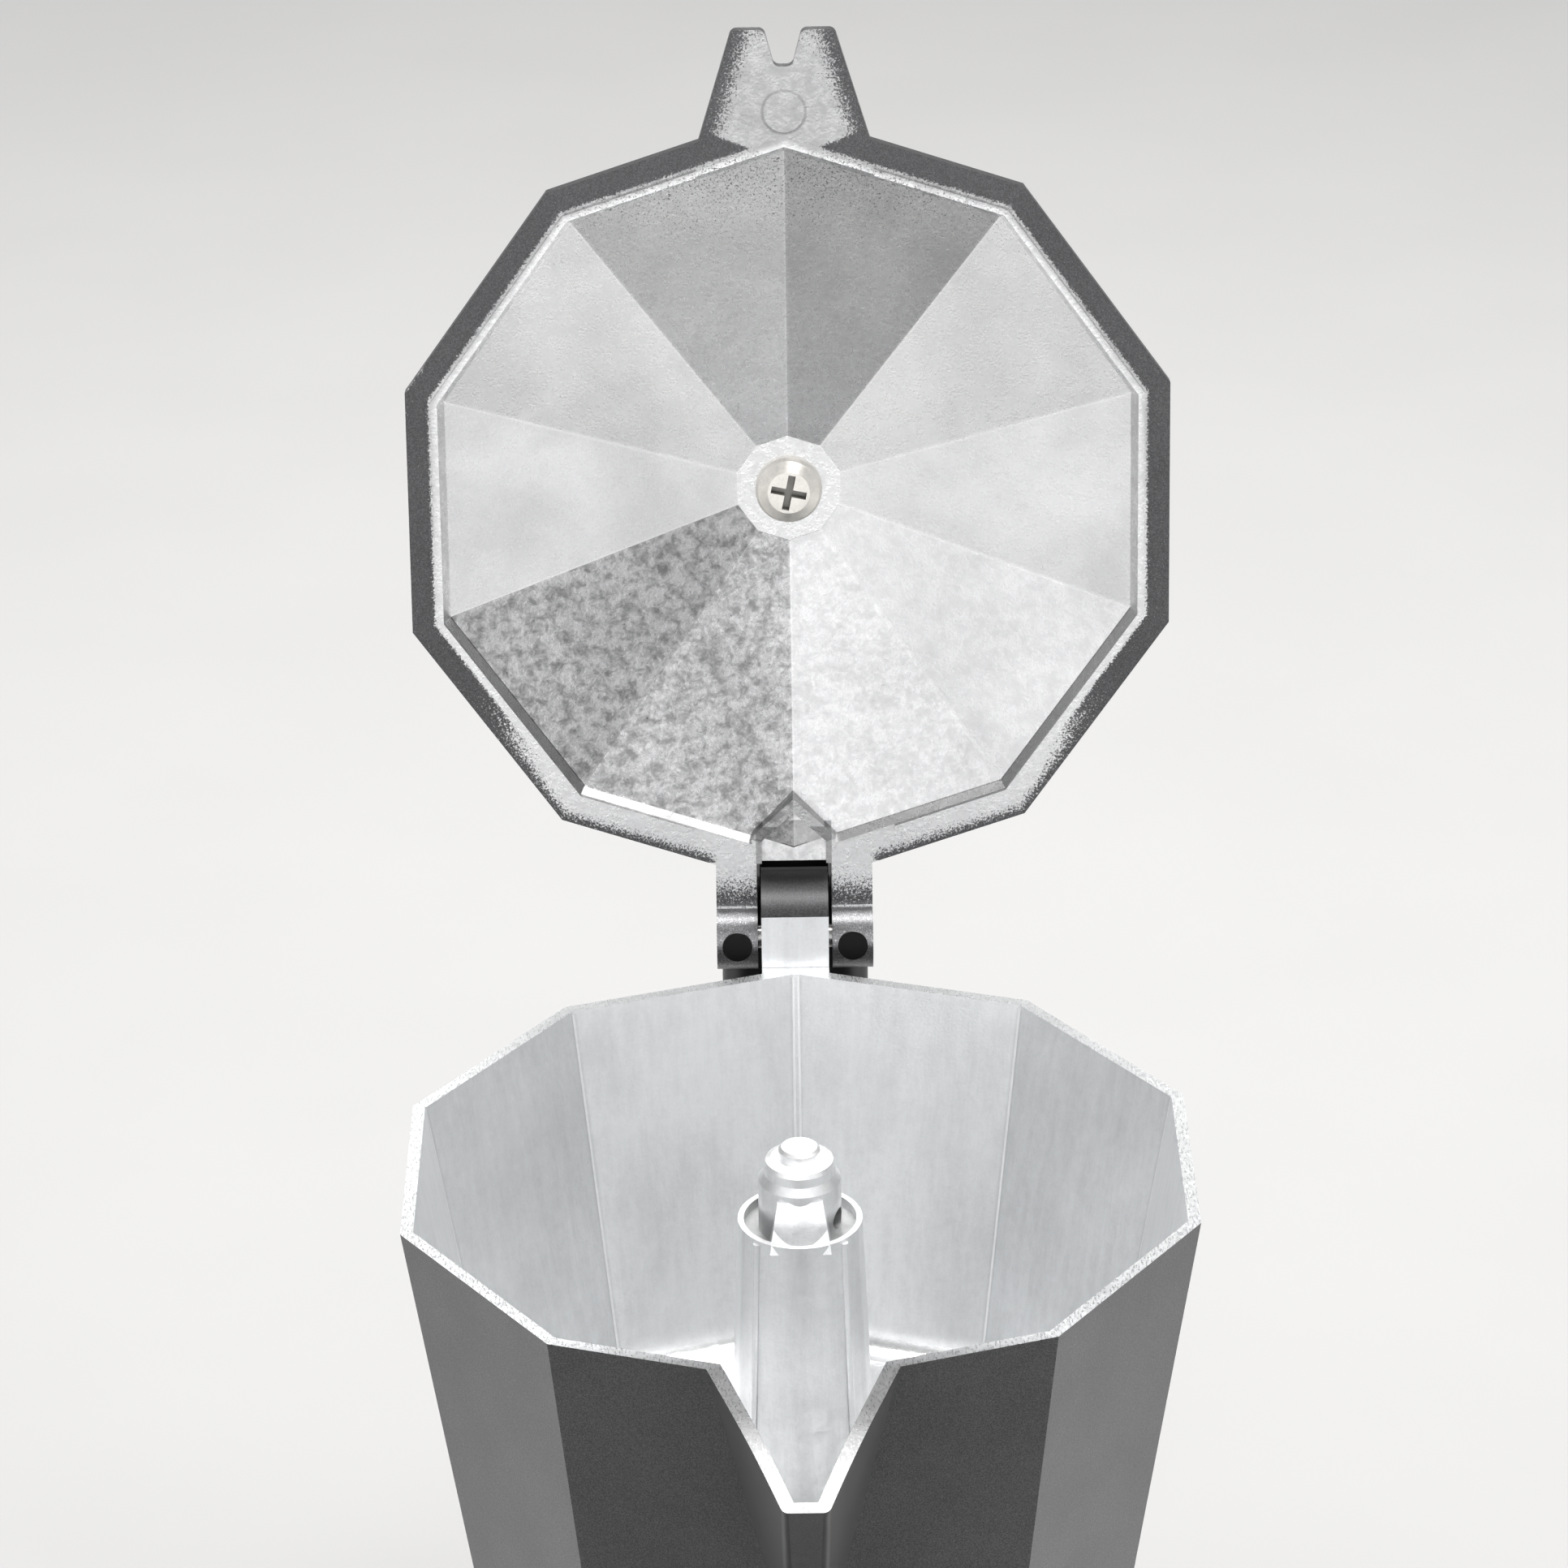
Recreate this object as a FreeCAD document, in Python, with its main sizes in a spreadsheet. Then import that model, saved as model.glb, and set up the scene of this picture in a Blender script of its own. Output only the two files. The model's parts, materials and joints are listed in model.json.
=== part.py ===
import FreeCAD, Part

import math
import os
import re

import Sketcher

# Stove-top coffee maker (moka pot), in millimetres.
# Origin: centre of the boiler's flat base. +Z is up, the spout points along -Y, the handle along +Y.
# Many-sided castings are given by the radius to their corners. One corner lies on the -Y side.

DIMENSIONS = {
    "sides": 10,
    # boiler
    "boiler_height": 66,
    "boiler_foot": 50,
    "boiler_shoulder": 38.6,
    "boiler_floor": 3,
    "boiler_wall": 3.2,
    "neck_height": 11,
    "neck_radius": 30.8,
    "neck_bore": 28.3,
    "shoulder_drop": 6,
    "foot_chamfer": 1.2,
    "boiler_taper": 0.155,
    "boiler_fillet": 4,
    "neck_chamfer": 0.5,
    "thread_pitch": 3,
    "thread_depth": 1.2,
    "thread_root": 1.8,
    "thread_crest": 0.8,
    "thread_start": 1.8,
    "thread_length": 7,
    "thread_gap": 0.3,
    "thread_bite": 0.4,
    "thread_run_out": 1.5,
    # safety valve, on the +X side of the boiler
    "valve_height": 42,
    "valve_seat": 42.8,
    "boss_radius": 8.2,
    "valve_thread": 4.95,
    "valve_hole": 5,
    "valve_tail": 6.5,
    "valve_hex": 6.6,
    "valve_hex_length": 5,
    "valve_nose": 5,
    "valve_length": 12,
    "valve_chamfer": 0.6,
    "valve_chamber": 3.2,
    "orifice": 1.6,
    "washer_radius": 7.4,
    "washer_thickness": 1,
    "washer_clearance": 0.1,
    "seal_radius": 2.7,
    "seal_thickness": 0.8,
    "seal_depth": 2,
    "plunger_radius": 2.9,
    "plunger_thickness": 1.2,
    "stem_radius": 1,
    "stem_end": 14.4,
    "stem_chamfer": 0.4,
    "spring_radius": 2.1,
    "spring_wire": 0.35,
    "spring_pitch": 1.5,
    "spring_gap": 0.05,
    "cap_length": 2.6,
    "cap_gap": 0.08,
    # funnel and its strainer
    "funnel_flange": 30.2,
    "funnel_sheet": 0.9,
    "basket_radius": 26.4,
    "basket_depth": 23,
    "tube_radius": 5.4,
    "tube_clearance": 7,
    "cone_drop": 5,
    "cone_step": 1.5,
    # perforated discs
    "disc_thickness": 0.8,
    "disc_gap": 0.1,
    "hole_radius": 0.6,
    "hole_spacing": 3.9,
    "solid_edge": 4,
    "plate_radius": 28,
    # gasket
    "gasket_outer": 31,
    "gasket_inner": 26.2,
    "gasket_thickness": 3.1,
    "seal_gap": 0.02,
    # collector
    "skirt_gap": 1,
    "collector_height": 65,
    "rim_radius": 48,
    "wall_slope": 0.148,
    "rim_wall": 1.45,
    "floor_wall": 2.6,
    "cavity_depth": 47,
    "cavity_fillet": 4,
    "seam_width": 0.3,
    "back_seam_width": 0.8,
    "seam_depth": 0.5,
    "skirt_bore": 31.2,
    "dome_radius": 25,
    "dome_depth": 1.2,
    "dome_slope": 4,
    # column in the middle of the collector
    "column_top": 7.2,
    "column_ring": 7.3,
    "column_taper": 0.04,
    "column_bore": 4,
    "bore_flare": 1.5,
    "bore_top": 14,
    "ring_bore": 6.6,
    "ring_depth": 1.1,
    "wedge_foot": 3.6,
    "wedge_head": 2.65,
    "wedge_depth": 6.9,
    "wedge_head_depth": 4.7,
    "wedge_top": 2.6,
    "body_radius": 4.85,
    "body_top": 1.9,
    "bulge_radius": 4.15,
    "bulge_foot": 1,
    "bulge_top": 0.9,
    "bulge_rounding": 0.8,
    "cap_radius": 2.45,
    "cap_rise": 2.3,
    "cap_chamfer": 0.35,
    "riser_radius": 1.9,
    "riser_top": 4.9,
    "outlet_radius": 1.3,
    "outlet_level": 6.4,
    "outlet_turn": 22,
    "rib_radius": 0.45,
    "rib_angle": 44,
    # spout
    "spout_root": 44.3,
    "spout_root_width": 10.7,
    "spout_end": 71,
    "spout_end_width": 2.5,
    "spout_dip_start": 53.5,
    "spout_dip": 3.9,
    "spout_dip_length": 18.5,
    "spout_wall": 1.2,
    "spout_tip_wall": 1.5,
    "spout_channel_start": 2.2,
    "spout_channel_foot": 4,
    "spout_depth": 39,
    "spout_foot": 42.4,
    "spout_foot_width": 2,
    "spout_foot_depth": 1.5,
    "spout_foot_inside": 5,
    "beak_rounding": 1,
    # hinge lug and handle tongue
    "lug_width": 8.3,
    "hinge_back": 55.25,
    "hinge_rise": 0.7,
    "lug_front": 48.2,
    "lug_top": 7,
    "lug_foot": 26,
    "crown_radius": 8.2,
    "crown_back": 54.4,
    "crown_rise": 1.6,
    "panel_width": 3.4,
    "panel_foot": 1.6,
    "panel_top": 5.9,
    "panel_depth": 0.25,
    "tongue_start": 64,
    "tongue_end": 76,
    "tongue_drop": 12,
    "tongue_top": 4.2,
    "tongue_slant": 4,
    "lug_wall": 46.3,
    "pin_radius": 1.5,
    "pin_fit": 0.02,
    "pin_clearance": 0.05,
    "pin_chamfer": 0.3,
    # lid
    "lid_open": 98.83,
    "lid_radius": 48.7,
    "lid_edge": 2,
    "lid_rise": 9.8,
    "lid_flat": 8,
    "inner_radius": 43.8,
    "inner_step": 1.6,
    "inner_flat": 6.65,
    "lip_outer": 45.4,
    "lip_inner": 44.6,
    "lip_height": 0.9,
    "lip_gap": 12.5,
    "tab_root": 44,
    "tab_root_width": 10.7,
    "tab_end": 58.7,
    "tab_end_width": 6.15,
    "tab_fillet": 0.9,
    "notch_end_width": 2.25,
    "notch_root_width": 1.1,
    "notch_root": 54.3,
    "ear_inner": 4.63,
    "ear_outer": 9.7,
    "ear_radius": 4,
    "ear_start": 11.5,
    "ear_slope_end": 8,
    "ear_slope_rise": 2,
    "ejector_radius": 1.85,
    "ejector_rise": 0.1,
    "slot_end": 45.5,
    "slot_length": 20,
    "slot_below": 6,
    "slot_height": 14,
    "gable_apex": 37,
    "gable_eaves": 41.9,
    "gable_width": 5.2,
    "gable_wall": 1.2,
    "gable_rise": 0.4,
    "gable_height": 3.4,
    "gable_end": 43.9,
    "ramp_start": 41.2,
    "ramp_head": 1.88,
    "ramp_foot": 1.2,
    "ramp_end": 45.6,
    "mark_radius": 2.6,
    "mark_place": 48.8,
    "mark_depth": 0.25,
    # lid knob and its screw
    "knob_foot": 7,
    "knob_waist": 6.2,
    "knob_waist_height": 4,
    "knob_top": 10.5,
    "knob_top_height": 16,
    "knob_crown": 8.5,
    "knob_height": 20,
    "knob_fillet": 1.5,
    "insert_radius": 3,
    "insert_length": 10,
    "insert_room": 1.5,
    "insert_fit": 0.02,
    "screw_radius": 2,
    "screw_hole": 2.2,
    "head_radius": 4.1,
    "head_height": 2.4,
    "head_crown": 2.6,
    "head_bevel": 0.9,
    "head_edge": 1.5,
    "head_inset": 0.3,
    "screw_point": 0.5,
    "cross_length": 2.2,
    "cross_width": 0.45,
    "cross_depth": 1.5,
    "cross_angle": 12,
    "knob_screw_length": 8,
    # handle, with its cross screw and nut
    "handle_width": 18.4,
    "handle_front": 60.2,
    "handle_fit": 0.15,
    "slot_drop": 30,
    "slot_rise": 20,
    "slot_margin": 1,
    "blind_drop": 5,
    "blind_gap": 0.3,
    "handle_screw_back": 70,
    "handle_screw_drop": 4,
    "handle_screw_hole": 2.1,
    "head_recess": 4.3,
    "recess_depth": 2.8,
    "nut_radius": 4.04,
    "nut_pocket": 4.2,
    "nut_thickness": 3.2,
    "nut_inset": 0.2,
    "nut_room": 0.3,
    "grip_fillet": 3.2,
}

RIM = "(boiler_height + skirt_gap + collector_height)"
CAVITY_FLOOR = "({} - cavity_depth)".format(RIM)
NECK_TOP = "(boiler_height + neck_height)"
GASKET_FOOT = "({} + funnel_sheet + seal_gap)".format(NECK_TOP)
SEAT = "({} + gasket_thickness)".format(GASKET_FOOT)
SKIRT_FOOT = "(boiler_height + skirt_gap)"
FLOOR_RADIUS = "(rim_radius - wall_slope * cavity_depth - floor_wall / cos(180 / sides))"
MOUTH_RADIUS = "(rim_radius - rim_wall / cos(180 / sides))"
FLANGE = "(-hinge_rise)"

doc = FreeCAD.newDocument("MokaPot")
sheet = doc.addObject("Spreadsheet::Sheet", "Dims")
pieces = []


def fill_sheet():
    for row, (word, number) in enumerate(DIMENSIONS.items(), start=1):
        sheet.set("A{}".format(row), word)
        sheet.set("B{}".format(row), str(number))
        sheet.setAlias("B{}".format(row), word)
    doc.recompute()


def formula(text):
    """Put the sheet's name before each of its words."""
    return re.sub(r"[a-z_]+", lambda found: "Dims." + found.group(0)
                  if found.group(0) in DIMENSIONS else found.group(0), text)


def value(text):
    result = sheet.evalExpression(formula(text))
    return getattr(result, "Value", result)


def bind(thing, place, text):
    thing.setExpression(place, formula(text))


# ---- sketches ----

def new_body(label):
    body = doc.addObject("PartDesign::Body", label)
    body.Label = label
    pieces.append(body)
    return body


def sketch(body, plane, level="0", centre=("0", "0"), turn=None):
    made = body.newObject("Sketcher::SketchObject", body.Name + "_sketch")
    support = [feature for feature in body.Origin.OriginFeatures if feature.Role == plane]
    made.AttachmentSupport = [(support[0], "")]
    made.MapMode = "FlatFace"
    if turn is not None:
        made.AttachmentOffset = FreeCAD.Placement(FreeCAD.Vector(), FreeCAD.Rotation(turn, 0, 0))
    for axis, text in zip("xyz", (centre[0], centre[1], level)):
        bind(made, "AttachmentOffset.Base." + axis, text)
    return made


def fix_point(made, geometry, end, across, along):
    for kind, text in (("DistanceX", across), ("DistanceY", along)):
        number = made.addConstraint(Sketcher.Constraint(kind, -1, 1, geometry, end, value(text)))
        bind(made, "Constraints[{}]".format(number), text)


def fix_radius(made, geometry, radius):
    number = made.addConstraint(Sketcher.Constraint("Radius", geometry, value(radius)))
    bind(made, "Constraints[{}]".format(number), radius)


def outline(made, points):
    """Closed outline of straight lines through points given as pairs of formulas."""
    first = made.GeometryCount
    count = len(points)
    corners = [FreeCAD.Vector(value(across), value(along), 0) for across, along in points]
    for index in range(count):
        made.addGeometry(Part.LineSegment(corners[index], corners[(index + 1) % count]), False)
    for index in range(count):
        following = first + (index + 1) % count
        made.addConstraint(Sketcher.Constraint("Coincident", first + index, 2, following, 1))
    for index, (across, along) in enumerate(points):
        fix_point(made, first + index, 1, across, along)
    return made


def circle(made, radius, across="0", along="0"):
    middle = FreeCAD.Vector(value(across), value(along), 0)
    number = made.addGeometry(Part.Circle(middle, FreeCAD.Vector(0, 0, 1), value(radius)), False)
    fix_point(made, number, 3, across, along)
    fix_radius(made, number, radius)
    return made


def arc_and_lines(made, start, end, radius, points):
    """Closed outline: an arc that leaves start level and falls to end, then lines through points."""
    first = FreeCAD.Vector(value(start[0]), value(start[1]), 0)
    last = FreeCAD.Vector(value(end[0]), value(end[1]), 0)
    size = value(radius)
    centre = first - FreeCAD.Vector(0, size, 0)
    sweep = math.acos((last.y - centre.y) / size)
    round_line = Part.Circle(centre, FreeCAD.Vector(0, 0, 1), size)
    made.addGeometry(Part.ArcOfCircle(round_line, math.pi / 2, math.pi / 2 + sweep), False)
    corners = [last] + [FreeCAD.Vector(value(across), value(along), 0) for across, along in points]
    for begin, finish in zip(corners, corners[1:] + [first]):
        made.addGeometry(Part.LineSegment(begin, finish), False)
    lines = len(points) + 1
    for index in range(lines):
        following = (index + 2) % (lines + 1)
        made.addConstraint(Sketcher.Constraint("Coincident", index + 1, 2, following, 1))
    made.addConstraint(Sketcher.Constraint("Coincident", 0, 2, 1, 1))
    fix_point(made, 0, 1, *start)
    fix_point(made, 0, 2, *end)
    fix_radius(made, 0, radius)
    for index, (across, along) in enumerate(points):
        fix_point(made, index + 2, 1, across, along)
    return made


def polygon(made, radius, count="sides"):
    """Regular polygon with one corner on the sketch's own vertical axis."""
    number = int(value(count))
    step = "360 / " + count
    names = [("({}) * sin({} * {})".format(radius, index, step),
              "({}) * cos({} * {})".format(radius, index, step)) for index in range(number)]
    return outline(made, names)


def both_sides(points):
    """Close a half outline by mirroring it in the sketch's vertical axis."""
    mirrored = [("-({})".format(across), along) for across, along in reversed(points)]
    return points + mirrored


# ---- features ----

def pad(made, length, reverse=False, middle=False, cut=False):
    body = made.getParentGeoFeatureGroup()
    kind = "PartDesign::Pocket" if cut else "PartDesign::Pad"
    feature = body.newObject(kind, body.Name + ("_pocket" if cut else "_pad"))
    feature.Profile = made
    bind(feature, "Length", length)
    feature.Reversed = reverse
    if middle:
        feature.SideType = "Symmetric"
    return feature


def cut(made, length, reverse=False, middle=False):
    """Pocket that has to take something away."""
    body = made.getParentGeoFeatureGroup()
    doc.recompute()
    before = body.Tip.Shape.Volume
    feature = pad(made, length, reverse, middle, cut=True)
    doc.recompute()
    if not feature.Shape.Volume < before:
        raise ValueError(feature.Name + " cuts nothing")
    return feature


def turn(made, axis="V_Axis", remove=False):
    body = made.getParentGeoFeatureGroup()
    kind = "PartDesign::Groove" if remove else "PartDesign::Revolution"
    feature = body.newObject(kind, body.Name + "_turned")
    feature.Profile = made
    feature.ReferenceAxis = (made, [axis])
    feature.Angle = 360
    return feature


def loft(lower, upper, remove=False):
    body = lower.getParentGeoFeatureGroup()
    kind = "PartDesign::SubtractiveLoft" if remove else "PartDesign::AdditiveLoft"
    feature = body.newObject(kind, body.Name + "_loft")
    feature.Profile = lower
    feature.Sections = [upper]
    feature.Ruled = True
    return feature


def coil(made, axis, pitch, height, remove=False):
    body = made.getParentGeoFeatureGroup()
    kind = "PartDesign::SubtractiveHelix" if remove else "PartDesign::AdditiveHelix"
    feature = body.newObject(kind, body.Name + "_coil")
    feature.Profile = made
    feature.ReferenceAxis = (made, [axis])
    feature.Mode = "pitch-height-angle"
    bind(feature, "Pitch", pitch)
    bind(feature, "Height", height)
    return feature


def round_edges(body, radius, wanted, kind="Fillet"):
    """Fillet or chamfer the edges of the body so far that pass the test."""
    doc.recompute()
    base = body.Tip
    names = ["Edge{}".format(index) for index, edge in enumerate(base.Shape.Edges, start=1)
             if wanted(edge)]
    if not names:
        raise ValueError(body.Name + " has no such edge")
    feature = body.newObject("PartDesign::" + kind, body.Name + "_" + kind.lower())
    feature.Base = (base, names)
    bind(feature, "Radius" if kind == "Fillet" else "Size", radius)
    return feature


def mirrored(body, originals):
    feature = body.newObject("PartDesign::Mirrored", body.Name + "_mirrored")
    feature.Originals = originals
    plane = [found for found in body.Origin.OriginFeatures if found.Role == "YZ_Plane"]
    feature.MirrorPlane = (plane[0], [""])
    body.Tip = feature
    return feature


def turned_piece(label, points, plane="XZ_Plane", axis="V_Axis"):
    body = new_body(label)
    turn(outline(sketch(body, plane), points), axis)
    return body


def middle(edge):
    return edge.valueAt((edge.FirstParameter + edge.LastParameter) / 2)


# ---- boiler ----

def thread_profile(body, foot, inner, outer, gap):
    """Trapezoid tooth section in the XZ plane, widest at the root and centred on foot."""
    root = "(thread_root / 2 + {})".format(gap)
    crest = "(thread_crest / 2 + {})".format(gap)
    return outline(sketch(body, "XZ_Plane"), [
        (inner, "{} - {}".format(foot, root)),
        (outer, "{} - {}".format(foot, crest)),
        (outer, "{} + {}".format(foot, crest)),
        (inner, "{} + {}".format(foot, root)),
    ])


def make_boiler():
    body = new_body("boiler")
    foot = polygon(sketch(body, "XY_Plane"), "boiler_foot")
    shoulder = polygon(sketch(body, "XY_Plane", "boiler_height"), "boiler_shoulder")
    loft(foot, shoulder)
    round_edges(body, "foot_chamfer", lambda edge: middle(edge).z < 0.001)
    pad(circle(sketch(body, "XY_Plane", "boiler_height"), "neck_radius"), "neck_height")
    boss = circle(sketch(body, "YZ_Plane", "valve_seat"), "boss_radius", "0", "valve_height")
    pad(boss, "boss_radius", reverse=True)
    low = "(boiler_foot * cos(180 / sides) - boiler_wall - boiler_taper * boiler_floor)"
    high = "(boiler_shoulder * cos(180 / sides) - boiler_wall + 1)"
    turn(outline(sketch(body, "XZ_Plane"), [
        ("0", "boiler_floor"),
        (low + " - boiler_fillet", "boiler_floor"),
        (low, "boiler_floor + boiler_fillet"),
        (high, "boiler_height - shoulder_drop"),
        ("neck_bore", "boiler_height - 1"),
        ("neck_bore", NECK_TOP + " + 1"),
        ("0", NECK_TOP + " + 1"),
    ]), remove=True)
    hole = circle(sketch(body, "YZ_Plane", "valve_seat + 1"), "valve_hole", "0", "valve_height")
    cut(hole, "boss_radius * 2")
    tooth = thread_profile(body, "(boiler_height + thread_start)", "neck_radius - thread_bite",
                           "neck_radius + thread_depth", "0")
    coil(tooth, "V_Axis", "thread_pitch", "thread_length")
    top = value(NECK_TOP)
    round_edges(body, "neck_chamfer", lambda edge: abs(middle(edge).z - top) < 0.001, "Chamfer")


# ---- safety valve, drawn along +X from the boss face ----

def on_valve(body):
    bind(body, "Placement.Base.x", "valve_seat")
    bind(body, "Placement.Base.z", "valve_height")


def valve_piece(label, points):
    body = turned_piece(label, points, "XY_Plane", "H_Axis")
    on_valve(body)
    return body


def make_valve_washer():
    valve_piece("valve_washer", [
        ("0", "valve_hole + washer_clearance"),
        ("washer_thickness", "valve_hole + washer_clearance"),
        ("washer_thickness", "washer_radius"),
        ("0", "washer_radius"),
    ])


def make_valve_body():
    body = valve_piece("valve_body", [
        ("-valve_tail", "orifice"),
        ("-seal_depth", "orifice"),
        ("-seal_depth", "valve_chamber"),
        ("valve_length", "valve_chamber"),
        ("valve_length", "valve_nose - valve_chamfer"),
        ("valve_length - valve_chamfer", "valve_nose"),
        ("washer_thickness", "valve_nose"),
        ("washer_thickness", "valve_thread"),
        ("-valve_tail", "valve_thread"),
    ])
    hexagon = sketch(body, "YZ_Plane", "washer_thickness")
    polygon(hexagon, "valve_hex / cos(30)", "6")
    circle(hexagon, "valve_thread - thread_bite")
    pad(hexagon, "valve_hex_length")


def make_valve_plunger():
    valve_piece("valve_plunger", [
        ("seal_thickness - seal_depth", "0"),
        ("seal_thickness - seal_depth", "plunger_radius"),
        ("seal_thickness - seal_depth + plunger_thickness", "plunger_radius"),
        ("seal_thickness - seal_depth + plunger_thickness", "stem_radius"),
        ("stem_end - stem_chamfer", "stem_radius"),
        ("stem_end", "stem_radius - stem_chamfer"),
        ("stem_end", "0"),
    ])


def make_valve_seal():
    valve_piece("valve_seal", [
        ("-seal_depth", "0"),
        ("-seal_depth", "seal_radius"),
        ("seal_thickness - seal_depth", "seal_radius"),
        ("seal_thickness - seal_depth", "0"),
    ])


def make_valve_spring():
    body = new_body("valve_spring")
    foot = "(seal_thickness - seal_depth + plunger_thickness + spring_wire + spring_gap)"
    head = "(valve_length - cap_length - spring_wire - spring_gap)"
    section = circle(sketch(body, "XY_Plane"), "spring_wire", foot, "spring_radius")
    coil(section, "H_Axis", "spring_pitch", head + " - " + foot)
    on_valve(body)


def make_valve_cap():
    valve_piece("valve_cap", [
        ("valve_length - cap_length", "stem_radius + cap_gap"),
        ("valve_length", "stem_radius + cap_gap"),
        ("valve_length", "valve_chamber - insert_fit"),
        ("valve_length - cap_length", "valve_chamber - insert_fit"),
    ])


# ---- funnel, strainer, filter plate and gasket ----

def make_funnel():
    basket_foot = "({} - basket_depth)".format(NECK_TOP)
    outer = "(basket_radius + funnel_sheet)"
    tube_top = "({} - cone_drop)".format(basket_foot)
    turned_piece("funnel", [
        ("tube_radius", "tube_clearance"),
        ("tube_radius", tube_top),
        (outer, basket_foot),
        (outer, NECK_TOP),
        ("funnel_flange", NECK_TOP),
        ("funnel_flange", NECK_TOP + " + funnel_sheet"),
        ("basket_radius", NECK_TOP + " + funnel_sheet"),
        ("basket_radius", basket_foot + " + funnel_sheet"),
        ("basket_radius - cone_step", basket_foot + " + funnel_sheet / 2"),
        ("tube_radius - funnel_sheet", tube_top + " + funnel_sheet / 2"),
        ("tube_radius - funnel_sheet", "tube_clearance"),
    ])


def perforated_disc(label, radius, foot):
    """Thin disc with rings of small holes, six more in each ring than in the one inside it."""
    body = new_body(label)
    pad(circle(sketch(body, "XY_Plane", foot), radius), "disc_thickness")
    rings = int(value("(basket_radius - solid_edge) / hole_spacing"))
    below = foot + " - disc_thickness"
    through = "disc_thickness * 3"
    cut(circle(sketch(body, "XY_Plane", below), "hole_radius"), through, reverse=True)
    for ring in range(1, rings + 1):
        place = sketch(body, "XY_Plane", below)
        circle(place, "hole_radius", "hole_spacing * {}".format(ring))
        drilled = cut(place, through, reverse=True)
        pattern = body.newObject("PartDesign::PolarPattern", label + "_holes")
        pattern.Originals = [drilled]
        pattern.Axis = (place, ["N_Axis"])
        pattern.Angle = 360
        pattern.Occurrences = 6 * ring
        body.Tip = pattern


def make_gasket():
    turned_piece("gasket", [
        ("gasket_inner", GASKET_FOOT),
        ("gasket_outer", GASKET_FOOT),
        ("gasket_outer", SEAT),
        ("plate_radius + disc_gap", SEAT),
        ("plate_radius + disc_gap", SEAT + " - disc_thickness"),
        ("gasket_inner", SEAT + " - disc_thickness"),
    ])


# ---- collector ----

def column_radius(drop):
    return "(column_ring + column_taper * ({} - column_top))".format(drop)


def add_spout(body):
    top = sketch(body, "XY_Plane", RIM)
    outline(top, both_sides([("spout_root_width", "-spout_root"),
                             ("spout_end_width", "-spout_end")]))
    foot = sketch(body, "XY_Plane", RIM + " - spout_depth")
    outline(foot, both_sides([("spout_foot_width", "spout_foot_depth - spout_foot"),
                              ("spout_foot_width", "-spout_foot")]))
    loft(foot, top)
    root = value("-spout_root")
    limit = value("-spout_end")
    round_edges(body, "beak_rounding", lambda edge: abs(edge.BoundBox.YMin - limit) < 0.01
                and edge.BoundBox.YMax > root and edge.BoundBox.ZLength > 1)


def cut_spout(body):
    """Channel inside the beak, and the curved dip of its lip."""
    top = sketch(body, "XY_Plane", RIM)
    outline(top, both_sides([("spout_root_width - spout_wall", "spout_channel_start - spout_root"),
                             ("spout_end_width - spout_wall", "spout_tip_wall - spout_end")]))
    foot = sketch(body, "XY_Plane", RIM + " - spout_depth + spout_channel_foot")
    outline(foot, both_sides([("spout_foot_width - spout_wall / 2", "spout_foot_inside - spout_foot"),
                              ("spout_foot_width - spout_wall / 2", "spout_tip_wall - spout_foot")]))
    loft(foot, top, remove=True)
    end = ("-spout_dip_start - spout_dip_length", RIM + " - spout_dip")
    start = ("-spout_dip_start", RIM)
    radius = "((spout_dip_length^2 + spout_dip^2) / (2 * spout_dip))"
    side = sketch(body, "YZ_Plane")
    arc_and_lines(side, start, end, radius, [
        (end[0], RIM + " + spout_dip"),
        (start[0], RIM + " + spout_dip"),
    ])
    cut(side, "spout_root_width * 2", middle=True)


def add_lug(body):
    """Upright plate behind the rim: hinge knuckle in front, tongue for the handle behind."""
    plate = sketch(body, "YZ_Plane")
    outline(plate, [
        ("lug_wall", RIM),
        ("lug_front", RIM),
        ("lug_front", RIM + " + lug_top"),
        ("tongue_start", RIM + " + tongue_top"),
        ("tongue_end", RIM + " + tongue_top"),
        ("tongue_end", RIM + " - tongue_drop"),
        ("tongue_start", RIM + " - tongue_drop - tongue_slant"),
        ("lug_wall - wall_slope * lug_foot", RIM + " - lug_foot"),
    ])
    pad(plate, "lug_width", middle=True)
    crown = sketch(body, "YZ_Plane")
    circle(crown, "crown_radius", "crown_back", RIM + " + crown_rise")
    pad(crown, "lug_width", middle=True)
    front = sketch(body, "YZ_Plane")
    outline(front, [
        ("lug_front", RIM),
        ("lug_front", RIM + " + lug_top * 3"),
        ("lug_front - crown_radius", RIM + " + lug_top * 3"),
        ("lug_front - crown_radius", RIM),
    ])
    cut(front, "lug_width * 2", middle=True)
    panel = sketch(body, "XZ_Plane", "-lug_front")
    outline(panel, both_sides([("panel_width", RIM + " + panel_foot"),
                               ("panel_width", RIM + " + panel_top")]))
    cut(panel, "panel_depth", reverse=True)


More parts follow.
